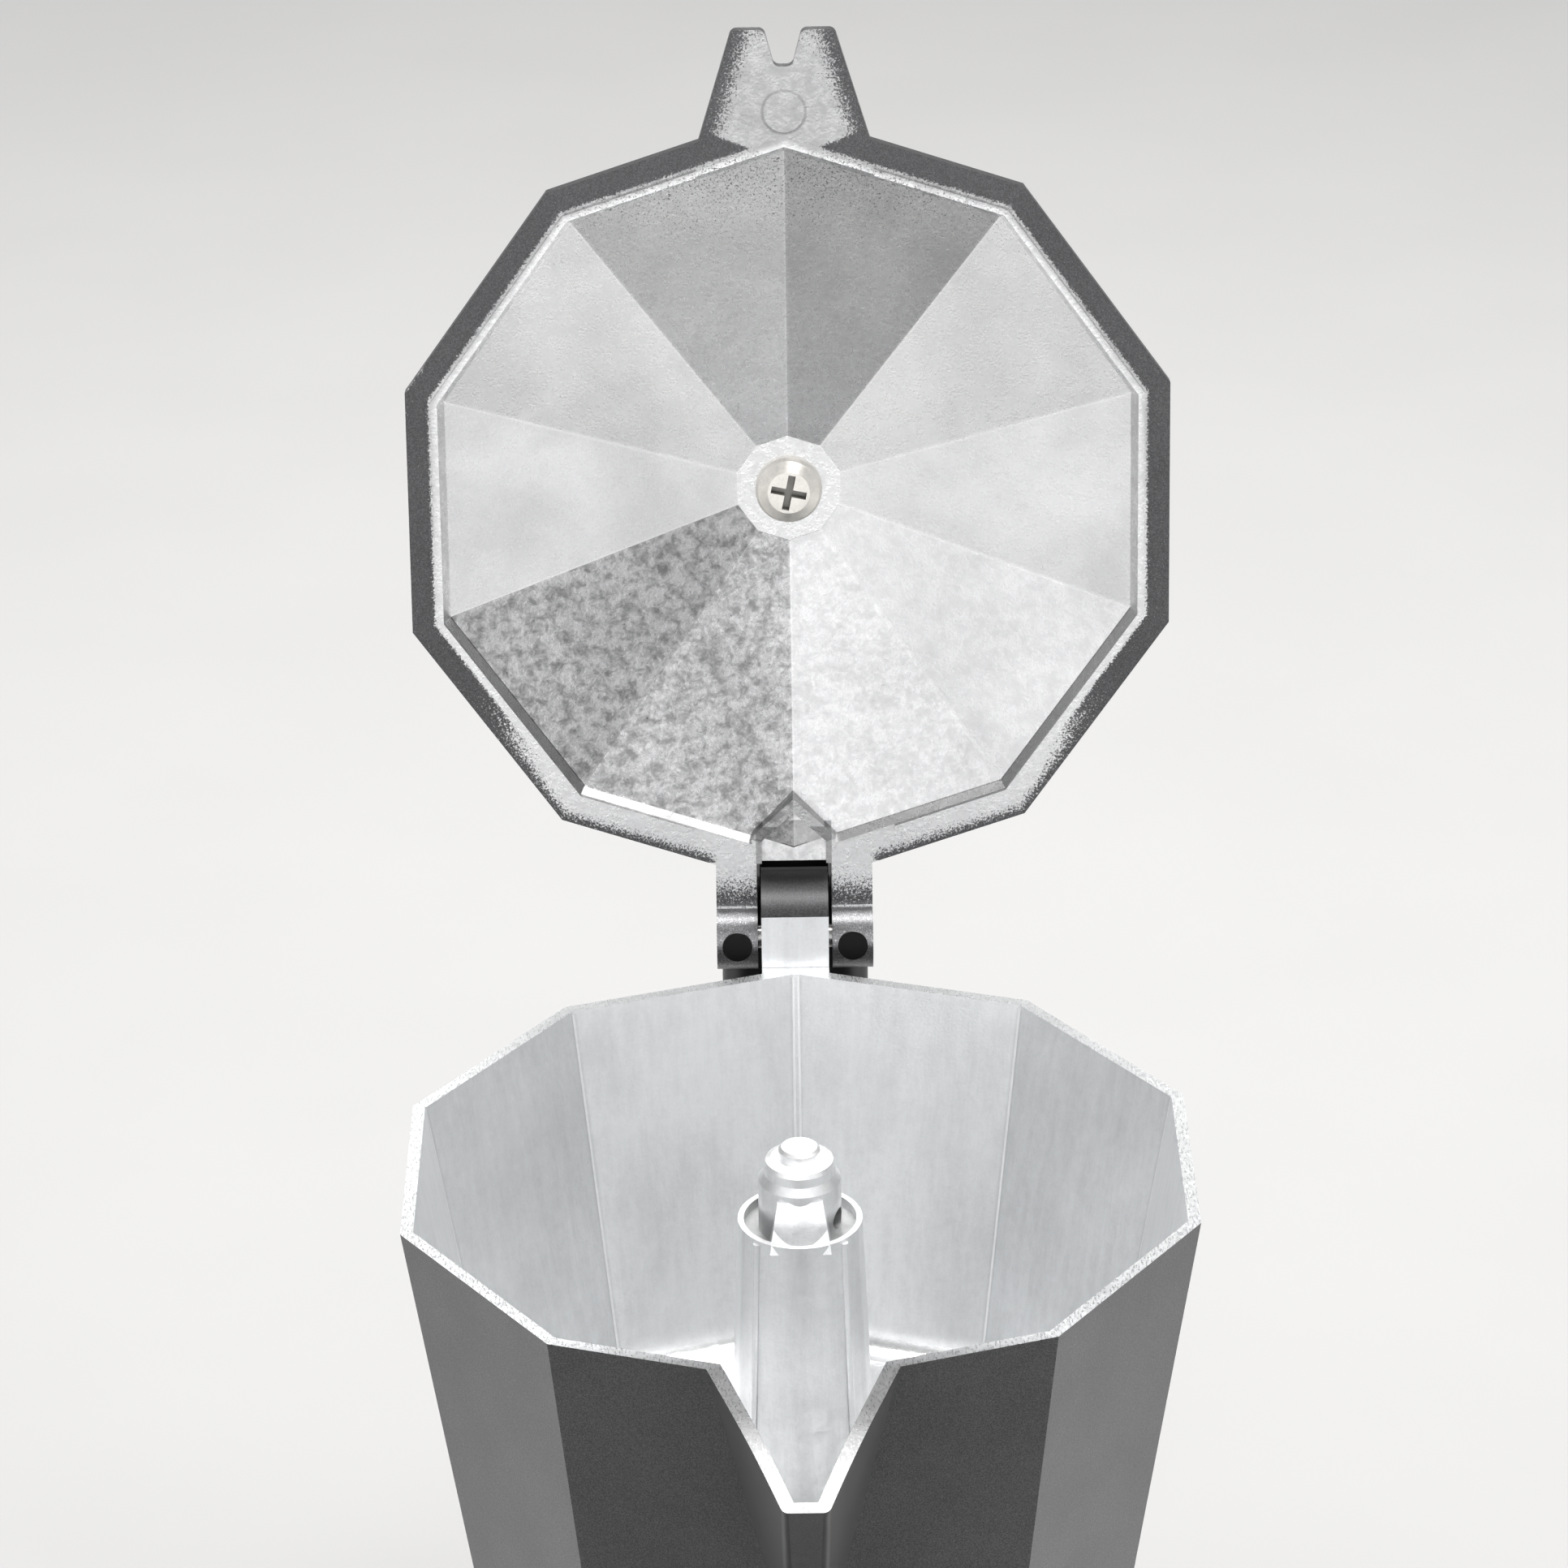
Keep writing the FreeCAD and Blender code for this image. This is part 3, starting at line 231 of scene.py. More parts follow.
CAST_CLOUDS = Noise(14 * MM, 4, 0.6)
CAST_PATCHES = Noise(1.5 * MM, 6, 0.72, warp=0.3)
CAST_GRAIN = Noise(0.3 * MM, 3, 0.6)
CAST_PORES = Noise(0.25 * MM, 2, 0.6)
CAST_WRINKLES = Noise(0.6 * MM, 5, 0.65, warp=0.6)
CAST_CLOUD_TONES = (-0.04, 0.04)
CAST_GRAIN_TONES = (0.015, -0.02)
CAST_STAINS = Step(0.38, 0.68, 0.03, -0.11)
CAST_PITS = Step(0.27, 0.34, -0.1, 0.0)
CAST_ROUGH_SPREAD = (-0.05, 0.07)
CAST_GRAIN_RELIEF = 0.2
CAST_HEIGHT = 0.08 * MM
CAST_TINT = (0.99, 1.0, 1.008)


def cast_metal(graph, place, light, stain, rough=0.3, relief=0.35):
    """Bare cast aluminium: mottled and stained, with a rough grain."""
    patches = graph.noise(CAST_PATCHES, place)
    grain = graph.noise(CAST_GRAIN, place)
    pores = graph.noise(CAST_PORES, place)
    clouds = graph.vary(graph.noise(CAST_CLOUDS, place), *CAST_CLOUD_TONES)
    specks = graph.vary(grain, *CAST_GRAIN_TONES)
    marks = graph.total(graph.step(patches, CAST_STAINS), graph.step(pores, CAST_PITS))
    level = graph.total(light, clouds, specks, graph.product(marks, stain))
    low, high = (rough + spread for spread in CAST_ROUGH_SPREAD)
    wrinkles = graph.product(graph.noise(CAST_WRINKLES, place), relief)
    heights = graph.total(graph.product(grain, CAST_GRAIN_RELIEF), wrinkles)
    return Layer(
        colour=graph.tinted(level, CAST_TINT),
        rough=graph.vary(patches, low, high),
        normal=graph.bump(heights, CAST_HEIGHT),
        metal=1.0,
    )


# ---- paint ----

PAINT_FLAKES = Noise(0.16 * MM, 2, 0.7)
PAINT_CLOUDS = Noise(9 * MM, 3, 0.5)
PAINT_PEEL = Noise(0.9 * MM, 3, 0.5)
PAINT_SPARKLE = Step(0.35, 0.72, 0.75, 1.5)
PAINT_CLOUD_TONES = (0.95, 1.05)
PAINT_ROUGH = (0.31, 0.4)
PAINT_BUMP = 0.5
PEEL_HEIGHT = 0.02 * MM
FLAKE_HEIGHT = 0.006 * MM
PAINT_TINT = (1.0, 1.0, 1.03)
PAINT_TONE = 0.11
PAINT_METAL = 0.8


def paint_layer(graph, place, tone=PAINT_TONE):
    """Semi-matt anthracite paint with fine metal flakes."""
    flakes = graph.noise(PAINT_FLAKES, place)
    clouds = graph.vary(graph.noise(PAINT_CLOUDS, place), *PAINT_CLOUD_TONES)
    level = graph.product(graph.step(flakes, PAINT_SPARKLE), clouds, tone)
    peel = graph.bump(graph.noise(PAINT_PEEL, place), PEEL_HEIGHT, PAINT_BUMP)
    return Layer(
        colour=graph.tinted(level, PAINT_TINT),
        rough=graph.vary(flakes, *PAINT_ROUGH),
        normal=graph.bump(flakes, FLAKE_HEIGHT, PAINT_BUMP, under=peel),
        metal=PAINT_METAL,
    )


# ---- collector and boiler: steps run over metres, or over a part of the face's normal ----

OUTWARD = 0.5 * MM
COLLECTOR_OUTSIDE = 34 * MM
BOILER_OUTSIDE = 33.5 * MM
BOILER_BASE = 0.2 * MM
LEVEL_FACE = 0.8
LUG_FROM = HINGE.y - 7.1 * MM
LUG_FRONT = -0.97

WALLS_FROM = 20 * MM
WALL_STREAKS = Noise(1.6 * MM, 4, 0.6, stretch=(1, 1, 0.06))
WALL_LINES = Noise(0.35 * MM, 3, 0.6, stretch=(1, 1, 0.12))
WALL_STREAK_TONES = (-0.035, 0.03)
WALL_LINE_TONES = (-0.015, 0.015)
WALL_STREAK_HEIGHT = 0.05 * MM
WALL_STREAK_BUMP = 0.35
# painted light and shade: inner walls darker where slanted, lighter where they face sideways
WALL_SLANTED_PAINTED_SHADE = Step(0.5, 0.7, 1.0, 0.9)
WALL_SIDEWAYS_PAINTED_LIGHT = Step(0.9, 0.95, 1.0, 1.06)
SPOUT_SHADE = Step(-36 * MM, -46 * MM, 1.0, 0.2)

# painted highlight and painted shade along the inner wall seams
SEAM_PAINTED_HIGHLIGHT = Step(0.1 * MM, 0.18 * MM, 1.15, 1.0)
SEAM_BORDER_PAINTED_SHADE = Step(0.2 * MM, 0.6 * MM, 0.9, 1.0)
SEAM_TOP = 0.4 * MM
BACK_SEAM_REACH = 2 * MM
BACK_SEAM_SPREAD = 0.33 * MM

BASE_LEVEL = Step(0.4, 0.7)
BASE_DEPTH = Step(12 * MM, 22 * MM)
# painted shade: the chamber's floor darker towards the front
BASE_PAINTED_SHADE = Step(5 * MM, -22 * MM, 0.95, 0.55)
BASE_ROUGH = 0.24
# the column's foot, which gets painted shade deep down
COLUMN_FOOT = Step(16 * MM, 36 * MM)
COLUMN_FOOT_PAINTED_SHADE = 0.6
COLUMN_RING = 6.6 * MM
COLUMN_RING_DEPTH = Step(4 * MM, 6 * MM)
# painted shade inside the column's ring
COLUMN_RING_PAINTED_SHADE = 0.6
# painted light: the column lighter near the rim's height
COLUMN_TOP_PAINTED_LIGHT = Step(3 * MM, 0.0, 1.0, 1.12)

RIM_THICK = 1 * MM
# painted shade: the rim's machined top darker towards the front, less so at the spout
RIM_PAINTED_SHADE = Step(-40 * MM, 40 * MM, 0.42, 0.05)
RIM_PAINTED_SHADE_AT_SPOUT = Step(-42 * MM, -48 * MM, 1.0, 0.4)
RIM_CUTS = Noise(0.22 * MM, 2, 0.5, stretch=(1, 0.25, 1))
RIM_ROUGH = (0.24, 0.4)

# the paint's tone, with painted light and shade: the keel lighter, the lug darker, faces turned sideways
# lighter than those facing front
KEEL_TURN = Step(0.12, 0.22, 1.0, 0.0)
KEEL_FROM = Step(-50 * MM, -54 * MM)
KEEL_PAINTED_LIGHT = 0.08
BODY_PAINT_TONE = 0.105
LUG_PAINTED_SHADE_TONE = 0.06
PAINT_TURN_PAINTED_LIGHT = Step(0.4, 0.75, 0.9, 1.13)


def looks_outward(graph, from_radius):
    """1 on faces beyond a radius that look away from the pot's axis."""
    x, y = graph.split(graph.place)[:2]
    nx, ny = graph.split(graph.normal)[:2]
    outward = graph.total(graph.product(nx, x), graph.product(ny, y))
    return graph.product(graph.above(outward, OUTWARD), graph.above(graph.length(x, y), from_radius))


def seam_painted_light_and_shade(graph, x, y, depth, radius):
    """Painted highlights as thin bright lines where the inner walls meet, with painted shade in darker
    borders; a pair of them at the back.
    """
    angle = graph.math("PINGPONG", graph.math("ARCTAN2", x, y), SIDE_ANGLE / 2)
    from_back = graph.length(x, graph.math("MINIMUM", y, 0))
    spread = graph.product(graph.below(from_back, BACK_SEAM_REACH), BACK_SEAM_SPREAD)
    away = graph.size(graph.less(graph.product(angle, radius), spread))
    line = graph.step(away, SEAM_PAINTED_HIGHLIGHT._replace(after=graph.step(away, SEAM_BORDER_PAINTED_SHADE)))
    on_wall = graph.product(graph.above(radius, WALLS_FROM), graph.above(depth, SEAM_TOP))
    return graph.blend(on_wall, 1.0, line)


def collector_material():
    """Painted outside; bare, streaky metal inside, on the machined rim and on the lug's face."""
    graph = Finish("collector_finish")
    x, y, z = graph.split(graph.place)
    nx, ny, up = graph.split(graph.normal)
    turn = graph.size(nx)
    depth = graph.less(RIM, z)
    radius = graph.length(x, y)
    wall = graph.above(radius, WALLS_FROM)
    top = graph.product(graph.above(up, LEVEL_FACE), graph.below(depth, RIM_THICK), wall)
    base = graph.product(graph.step(up, BASE_LEVEL), graph.step(depth, BASE_DEPTH))
    foot = graph.product(graph.less(1, wall), graph.step(depth, COLUMN_FOOT))
    ring = graph.product(graph.below(radius, COLUMN_RING), graph.step(depth, COLUMN_RING_DEPTH))
    lug = graph.product(graph.above(y, LUG_FROM), graph.above(ny, LUG_FRONT))
    body = graph.product(looks_outward(graph, COLLECTOR_OUTSIDE), graph.below(up, LEVEL_FACE))

    # painted light and shade on the bare inside: by the walls' turn, in the spout, on the floor, at the
    # column's foot, in its ring, near its top and along the seams
    tone = graph.product(
        graph.step(turn, WALL_SIDEWAYS_PAINTED_LIGHT._replace(before=graph.step(turn, WALL_SLANTED_PAINTED_SHADE))),
        graph.step(y, SPOUT_SHADE),
        graph.shaded(base, graph.step(y, BASE_PAINTED_SHADE)),
        graph.shaded(foot, COLUMN_FOOT_PAINTED_SHADE),
        graph.shaded(ring, COLUMN_RING_PAINTED_SHADE),
        graph.step(depth, COLUMN_TOP_PAINTED_LIGHT._replace(after=graph.blend(wall, COLUMN_TOP_PAINTED_LIGHT.after, 1.0))),
        seam_painted_light_and_shade(graph, x, y, depth, radius),
    )
    cast = cast_metal(graph, graph.place, light=0.92, stain=0.25, rough=0.4, relief=0.2)
    streaks = graph.noise(WALL_STREAKS)
    lines = graph.noise(WALL_LINES)
    drawn = graph.total(graph.vary(streaks, *WALL_STREAK_TONES), graph.vary(lines, *WALL_LINE_TONES))
    # painted shade on the rim's top
    rim_shade = graph.product(top, graph.step(y, RIM_PAINTED_SHADE), graph.step(y, RIM_PAINTED_SHADE_AT_SPOUT))
    colour = graph.vector("ADD", cast.colour, graph.tinted(graph.less(drawn, rim_shade)))
    rough = graph.blend(top, cast.rough, graph.vary(graph.noise(RIM_CUTS), *RIM_ROUGH))
    bare = Layer(
        colour=graph.vector("MULTIPLY", colour, graph.tinted(tone)),
        rough=graph.blend(base, rough, BASE_ROUGH),
        normal=graph.bump(streaks, WALL_STREAK_HEIGHT, WALL_STREAK_BUMP, under=cast.normal),
        metal=cast.metal,
    )

    # painted light and shade on the paint
    keel = graph.product(graph.step(turn, KEEL_TURN), graph.step(y, KEEL_FROM), KEEL_PAINTED_LIGHT)
    plain = graph.step(lug, Step(0.0, 1.0, BODY_PAINT_TONE, LUG_PAINTED_SHADE_TONE))
    paint_tone_and_light = graph.product(graph.total(keel, plain), graph.step(turn, PAINT_TURN_PAINTED_LIGHT))
    graph.set_layers(graph.most(body, lug), bare, paint_layer(graph, graph.place, paint_tone_and_light))
    return graph.material


def boiler_material():
    """Painted outside; bare casting inside, on the neck and under the base."""
    graph = Finish("boiler_finish")
    height = graph.split(graph.place)[2]
    painted = graph.product(looks_outward(graph, BOILER_OUTSIDE), graph.above(height, BOILER_BASE))
    cast = cast_metal(graph, graph.place, light=0.74, stain=0.5)
    graph.set_layers(painted, cast, paint_layer(graph, graph.place))
    return graph.material


# ---- lid: x and y are from its middle and back is from the hinge pin, with the lid closed ----

LidPoint = namedtuple("LidPoint", "place x y back z")

UNDERSIDE = 0.12
FACETS_FROM = 6.6 * MM
FACETS_TO = 43.9 * MM
DISCS_BELOW = -4.03 * MM
DISC_COLOUR = (0.012, 0.012, 0.012)
# the lid's paint tone, with painted light making it lighter on the ears' barrels
LID_PAINT_TONE_AND_BARREL_LIGHT = Step(-5 * MM, -3.9 * MM, 0.085, 0.2)
LID_LIGHT = 0.83
LID_ROUGH = 0.27
LID_TINT = (1.008, 1.0, 0.998)
LID_DRIFT = Noise(22 * MM, 3, 0.6, warp=0.3)
LID_DRIFT_TONES = Step(0.35, 0.65, 0.9, 1.05)
# painted highlight along the creases between facets
CREASE_PAINTED_HIGHLIGHT = Step(0.1 * MM, 0.35 * MM, 1.08, 1.0)
# painted shade on faces that look up
LOOKS_UP_PAINTED_SHADE = Step(0.35, 0.6, 1.0, 0.85)
# painted shade in the pocket by the hinge
POCKET_HALF = 4.7 * MM
POCKET_FROM = 40.6 * MM
POCKET_PAINTED_SHADE = 0.55
# painted light and shade: the lip a little darker, the flange darker towards the tab and lighter towards the
# hinge
LIP_PAINTED_SHADE = Step(44.6 * MM, 45.6 * MM, 0.88)
FLANGE_PAINTED_LIGHT_AND_SHADE = Step(-40 * MM, 30 * MM, 0.5, 0.9)
FLANGE_STAIN = 0.8
FLANGE_RELIEF = 0.3
MARK_MIDDLE = (0, -48.8 * MM, 0)
MARK_RADIUS = 2.6 * MM
# painted shade: a thin dark circle around the round mark on the tab
MARK_PAINTED_SHADE_LINE = Step(0.1 * MM, 0.25 * MM, 0.75, 1.0)

SPECKS = Noise(0.25 * MM, 3, 0.8)
SPECK_SPREAD = Step(NOISE_LOW, NOISE_HIGH, -0.5, 0.5)
SPRAY_EDGE = Step(0.35, 0.65)
BACK_HALF = Step(20 * MM, 36 * MM)
FLANGE_SPRAY = Step(45.3 * MM, 46.3 * MM)
BACK_FLANGE_SPRAY = Step(46.0 * MM, 49.4 * MM)
FRONT_SPRAY = Step(-26 * MM, -42 * MM, 0.0, 0.3)
TAB_FROM = 44 * MM
TAB_HALF_WIDTH = 10.7 * MM
TAB_TAPER = 0.3095
TAB_SLANT = 0.35
TAB_START = Step(42.6 * MM, 43.6 * MM)
TAB_EDGE_SPRAY = Step(4.6 * MM, -0.8 * MM)
TAB_TIP_SPRAY = Step(54 * MM, 60 * MM, 0.0, 0.45)
EARS_FROM = -10 * MM
EAR_SPRAY = Step(-10.5 * MM, -4 * MM, 0.0, 0.82)
# painted highlight: a thin line left bare across each ear where its barrel begins
EAR_HIGHLIGHT_LINE = -4.1 * MM
EAR_HIGHLIGHT_HALF = 0.15 * MM
EAR_HIGHLIGHT_BARE = 0.5
GABLE_SIDE = Step(10.5 * MM, 9 * MM, 1.0)
GABLE_BARE = Step(40 * MM, 42 * MM, 1.0, 0.0)
CHIP_RAGGED = 1.5 * MM
CHIP_CORE = 0.7
CHIPS = [
    # middle and size of the spots on the flange where the paint has come off
    ((-45.3 * MM, -18.5 * MM, 0), 1.3 * MM),
    ((-46.2 * MM, -16.6 * MM, 0), 0.9 * MM),
    ((-47.5 * MM, -12.4 * MM, 0), 1.1 * MM),
]
FACETS = [
    # painted light and shade (tone), stain and relief of each facet under the lid, clockwise from the tab,
    # seen from the front
    (0.80, 1.4, 0.35),
    (1.14, 0.35, 0.12),
    (0.90, 0.3, 0.1),
    (0.65, 0.3, 0.15),
    (0.58, 0.6, 0.6),
    (0.49, 3.4, 1.1),
    (0.48, 4.2, 0.5),
    (1.00, 0.35, 0.15),
    (1.13, 0.35, 0.1),
    (1.10, 1.1, 0.3),
]


def lid_point(graph):
    """Where a point lies on the lid when it is closed."""
    place = graph.vector("SUBTRACT", graph.rotate(graph.place, LID_OPEN, PIVOT), PIVOT)
    x, back, z = graph.split(place)
    return LidPoint(place, x, graph.total(back, HINGE.y), back, z)


def ten_sided(graph, point):
    """Corner radius of the regular ten-sided outline that passes through the point."""
    angle = graph.math("PINGPONG", graph.math("ARCTAN2", point.x, point.y), SIDE_ANGLE / 2)
    to_side = graph.math("COSINE", graph.less(angle, SIDE_ANGLE / 2))
    reach = graph.product(graph.length(point.x, point.y), to_side)
    return graph.math("DIVIDE", reach, math.cos(SIDE_ANGLE / 2))


def by_facet(graph, angle, column):
    """Value of one column of FACETS at an angle from the tab."""
    turns = graph.math("FLOORED_MODULO", graph.math("DIVIDE", angle, 2 * math.pi), 1.0)
    number = graph.math("FLOOR", graph.product(turns, SIDES))
    value = 0.0
    for index, row in enumerate(FACETS):
        here = graph.math("COMPARE", number, index, 0.5)
        value = graph.total(value, graph.product(here, row[column]))
    return value


def lid_light_shade_and_stains(graph, point, reach, inside):
    """Painted light and shade (tone), stain and relief of the lid's bare underside: by facet inside; around
    it even stain and relief, with painted light and shade on the lip and flange and a painted shade line
    around the tab's mark.
    """
    side = graph.size(point.x)
    angle = graph.math("ARCTAN2", point.x, graph.product(point.y, -1.0))
    # painted light and shade on the lip and flange, and a painted shade line around the tab's mark
    flange = graph.step(reach, LIP_PAINTED_SHADE._replace(after=graph.step(point.y, FLANGE_PAINTED_LIGHT_AND_SHADE)))
    from_mark = graph.less(graph.distance(point.x, point.y, MARK_MIDDLE), MARK_RADIUS)
    mark = graph.step(graph.size(from_mark), MARK_PAINTED_SHADE_LINE)
    around = (graph.product(flange, mark), FLANGE_STAIN, FLANGE_RELIEF)
    tone, stain, relief = (
        graph.blend(inside, plain, by_facet(graph, angle, column))
        for column, plain in enumerate(around)
    )
    pocket = graph.product(graph.below(side, POCKET_HALF), graph.above(point.y, POCKET_FROM))
    drift = graph.step(graph.noise(LID_DRIFT, point.place), LID_DRIFT_TONES)
    from_crease = graph.math("PINGPONG", angle, SIDE_ANGLE / 2)
    crease = graph.step(graph.product(from_crease, graph.length(point.x, point.y)), CREASE_PAINTED_HIGHLIGHT)
    # painted shade on faces that look up and in the pocket; painted highlights along the creases
    tone = graph.product(
        tone,
        graph.step(graph.split(graph.normal)[2], LOOKS_UP_PAINTED_SHADE),
        graph.shaded(pocket, POCKET_PAINTED_SHADE),
        graph.blend(inside, 1.0, graph.product(drift, crease)),
    )
    return tone, stain, relief


def overspray(graph, point, reach):
    """Share of paint on the lid's underside: speckled along the flange, the tab and the ears."""
    side = graph.size(point.x)
    forward = graph.product(point.y, -1.0)
    specks = graph.step(graph.noise(SPECKS, point.place), SPECK_SPREAD, "LINEAR")

    flange = graph.blend(graph.step(point.y, BACK_HALF), graph.step(reach, FLANGE_SPRAY),
                         graph.step(reach, BACK_FLANGE_SPRAY))
    flange = graph.most(flange, graph.step(point.y, FRONT_SPRAY))
    half_width = graph.less(TAB_HALF_WIDTH, graph.product(TAB_TAPER, graph.less(forward, TAB_FROM)))
    tab = graph.most(graph.step(graph.less(half_width, side), TAB_EDGE_SPRAY),
                     graph.step(forward, TAB_TIP_SPRAY))
    on_tab = graph.step(graph.less(forward, graph.product(side, TAB_SLANT)), TAB_START)
    gable = graph.step(side, GABLE_SIDE._replace(after=graph.step(point.y, GABLE_BARE)))
    cover = graph.product(graph.blend(on_tab, flange, tab), gable)
    # painted highlight: a thin bare line across each ear
    line = graph.product(graph.math("COMPARE", point.back, EAR_HIGHLIGHT_LINE, EAR_HIGHLIGHT_HALF), EAR_HIGHLIGHT_BARE)
    ear = graph.less(graph.step(point.back, EAR_SPRAY), line)
    cover = graph.blend(graph.above(point.back, EARS_FROM), cover, ear)

    share = graph.step(graph.total(cover, specks), SPRAY_EDGE)
    for middle, size in CHIPS:
        away = graph.distance(point.x, point.y, middle)
        ragged = graph.total(away, graph.product(specks, CHIP_RAGGED))
        share = graph.product(share, graph.step(ragged, Step(size * CHIP_CORE, size)))
    return share


def lid_material():
    """Painted on top; rough bare casting underneath, with overspray; black discs under the ears."""
    graph = Finish("lid_finish")
    point = lid_point(graph)
    reach = ten_sided(graph, point)
    inside = graph.product(graph.below(reach, FACETS_TO), graph.above(reach, FACETS_FROM))
    discs = graph.below(point.z, DISCS_BELOW)
    under = graph.below(graph.split(graph.rotate(graph.normal, LID_OPEN))[2], UNDERSIDE)
    painted = graph.most(graph.less(1, under), overspray(graph, point, reach))

    tone, stain, relief = lid_light_shade_and_stains(graph, point, reach, inside)
    cast = cast_metal(graph, point.place, LID_LIGHT, stain, LID_ROUGH, relief)
    # the tone carries painted light and shade
    colour = graph.vector("MULTIPLY", cast.colour, graph.tinted(tone, LID_TINT))
    paint = paint_layer(graph, point.place, graph.step(point.back, LID_PAINT_TONE_AND_BARREL_LIGHT))
    graph.set_layers(graph.most(painted, discs), cast._replace(colour=colour),
                     paint._replace(colour=graph.mix(discs, paint.colour, DISC_COLOUR)))
    return graph.material


# ---- turned metals, plastics and rubbers ----

METAL_CLOUDS = Noise(3 * MM, 4, 0.6)
METAL_CLOUD_TONES = (0.86, 1.04)
METAL_LINE_TONES = (0.94, 1.04)
METAL_ROUGH_SPREAD = (-0.07, 0.09)
METAL_LINE_HEIGHT = 0.008 * MM
METAL_BUMP = 0.6
ROUND_ABOUT_X = (6, 1, 1)
# painted shade inside the screw's cross recess
RECESS_SHADE_DEPTH = Step(0.3 * MM, 0.8 * MM, 1.0)
RECESS_SHADE_EDGE = Step(2.3 * MM, 2.5 * MM, 0.3, 1.0)

MOULDED_CLOUDS = Noise(7 * MM, 4, 0.55)
MOULDED_SCUFFS = Noise(1.2 * MM, 5, 0.75, warp=1.2)
MOULDED_CLOUD_TONES = (0.9, 1.1)
MOULDED_SCUFF_TONES = Step(0.6, 0.78, 1.0, 1.25)
MOULDED_ROUGH_SPREAD = (-0.05, 0.06)
MOULDED_SCUFF_ROUGH = Step(0.6, 0.8, 0.0, 0.1)
MOULDED_SKIN_HEIGHT = 0.012 * MM
MOULDED_BUMP = 0.6


def metal_material(name, colour, rough, line, stretch=None, recess_shade=None):
    """Turned or drawn metal with lines of a size and slight tarnish, and painted shade from the recess
    function where one is given.
    """
    graph = Finish(name)
    lines = graph.noise(Noise(line, 3, 0.6, stretch=stretch))
    clouds = graph.vary(graph.noise(METAL_CLOUDS), *METAL_CLOUD_TONES)
    level = graph.product(clouds, graph.vary(lines, *METAL_LINE_TONES))
    if recess_shade:
        level = graph.product(level, recess_shade(graph))
    low, high = (rough + spread for spread in METAL_ROUGH_SPREAD)
    graph.set("Base Color", graph.tinted(level, colour))
    graph.set("Metallic", 1.0)
    graph.set("Roughness", graph.vary(lines, low, high))
    graph.set("Normal", graph.bump(lines, METAL_LINE_HEIGHT, METAL_BUMP))
    return graph.material


def cross_recess_shade(graph):
    """1 on the knob screw's head, and painted shade inside its cross recess."""
    point = lid_point(graph)
    depth = graph.less(point.z, SCREW_FACE)
    inner = graph.step(graph.length(point.x, point.y), RECESS_SHADE_EDGE)
    return graph.step(depth, RECESS_SHADE_DEPTH._replace(after=inner))


def moulded_material(name, colour, rough, texture, gloss=0.5):
    """Moulded plastic or rubber with a fine skin, faint scuffs and uneven sheen."""
    graph = Finish(name)
    clouds = graph.noise(MOULDED_CLOUDS)
    scuffs = graph.noise(MOULDED_SCUFFS)
    level = graph.product(graph.vary(clouds, *MOULDED_CLOUD_TONES),
                          graph.step(scuffs, MOULDED_SCUFF_TONES))
    low, high = (rough + spread for spread in MOULDED_ROUGH_SPREAD)
    skin = graph.noise(Noise(texture, 3, 0.6))
    graph.set("Base Color", graph.tinted(level, colour))
    graph.set("Roughness", graph.total(graph.vary(clouds, low, high),
                                       graph.step(scuffs, MOULDED_SCUFF_ROUGH)))
    graph.set("Specular IOR Level", gloss)
    graph.set("Normal", graph.bump(skin, MOULDED_SKIN_HEIGHT, MOULDED_BUMP))
    return graph.material


def finishes():
    """The material of each slot."""
    return {
        "boiler_paint": boiler_material(),
        "collector_casting": collector_material(),
        "lid_casting": lid_material(),
        "sheet_aluminium": metal_material(
            "sheet_aluminium_finish", (0.8, 0.8, 0.81), rough=0.34, line=0.4 * MM),
        "valve_brass": metal_material(
            "valve_brass_finish", (0.76, 0.56, 0.27), rough=0.28, line=0.25 * MM, stretch=ROUND_ABOUT_X),
        "insert_brass": metal_material(
            "insert_brass_finish", (0.74, 0.55, 0.28), rough=0.3, line=0.25 * MM),
        "valve_steel": metal_material(
            "valve_steel_finish", (0.62, 0.62, 0.62), rough=0.24, line=0.2 * MM, stretch=ROUND_ABOUT_X),
        "pin_steel": metal_material(
            "pin_finish", (0.62, 0.62, 0.61), rough=0.26, line=0.2 * MM, stretch=ROUND_ABOUT_X),
        "screw_nickel": metal_material(
            "screw_finish", (0.8, 0.775, 0.73), rough=0.4, line=0.3 * MM, recess_shade=cross_recess_shade),
        "gasket_rubber": moulded_material(
            "gasket_finish", (0.78, 0.75, 0.68), rough=0.6, texture=0.5 * MM, gloss=0.3),
        "seal_silicone": moulded_material(
            "seal_finish", (0.5, 0.09, 0.05), rough=0.5, texture=0.4 * MM, gloss=0.4),
        "valve_fibre": moulded_material(
            "washer_finish", (0.35, 0.07, 0.04), rough=0.7, texture=0.25 * MM, gloss=0.25),
        "black_plastic": moulded_material(
            "black_plastic_finish", (0.016, 0.016, 0.017), rough=0.38, texture=0.4 * MM),
    }


def dress_nodes():
    """Put each node's finish in its material slots."""
    made = finishes()
    for name, thing in NODES.items():
        for slot in thing.material_slots:
            slot.material = made[SLOTS[name]]


# ---- floor ----

FLOOR_SIZE = 8
# painted light and shade: the floor darker behind the pot and paler before it
FLOOR_PAINTED_LIGHT = Step(0.1, -0.05, 0.4, 0.92)
FLOOR_CLOUDS = Noise(60 * MM, 3, 0.5)
FLOOR_CLOUD_TONES = (0.98, 1.0)
FLOOR_TINT = (1.0, 1.0, 0.995)
FLOOR_ROUGH = 0.6
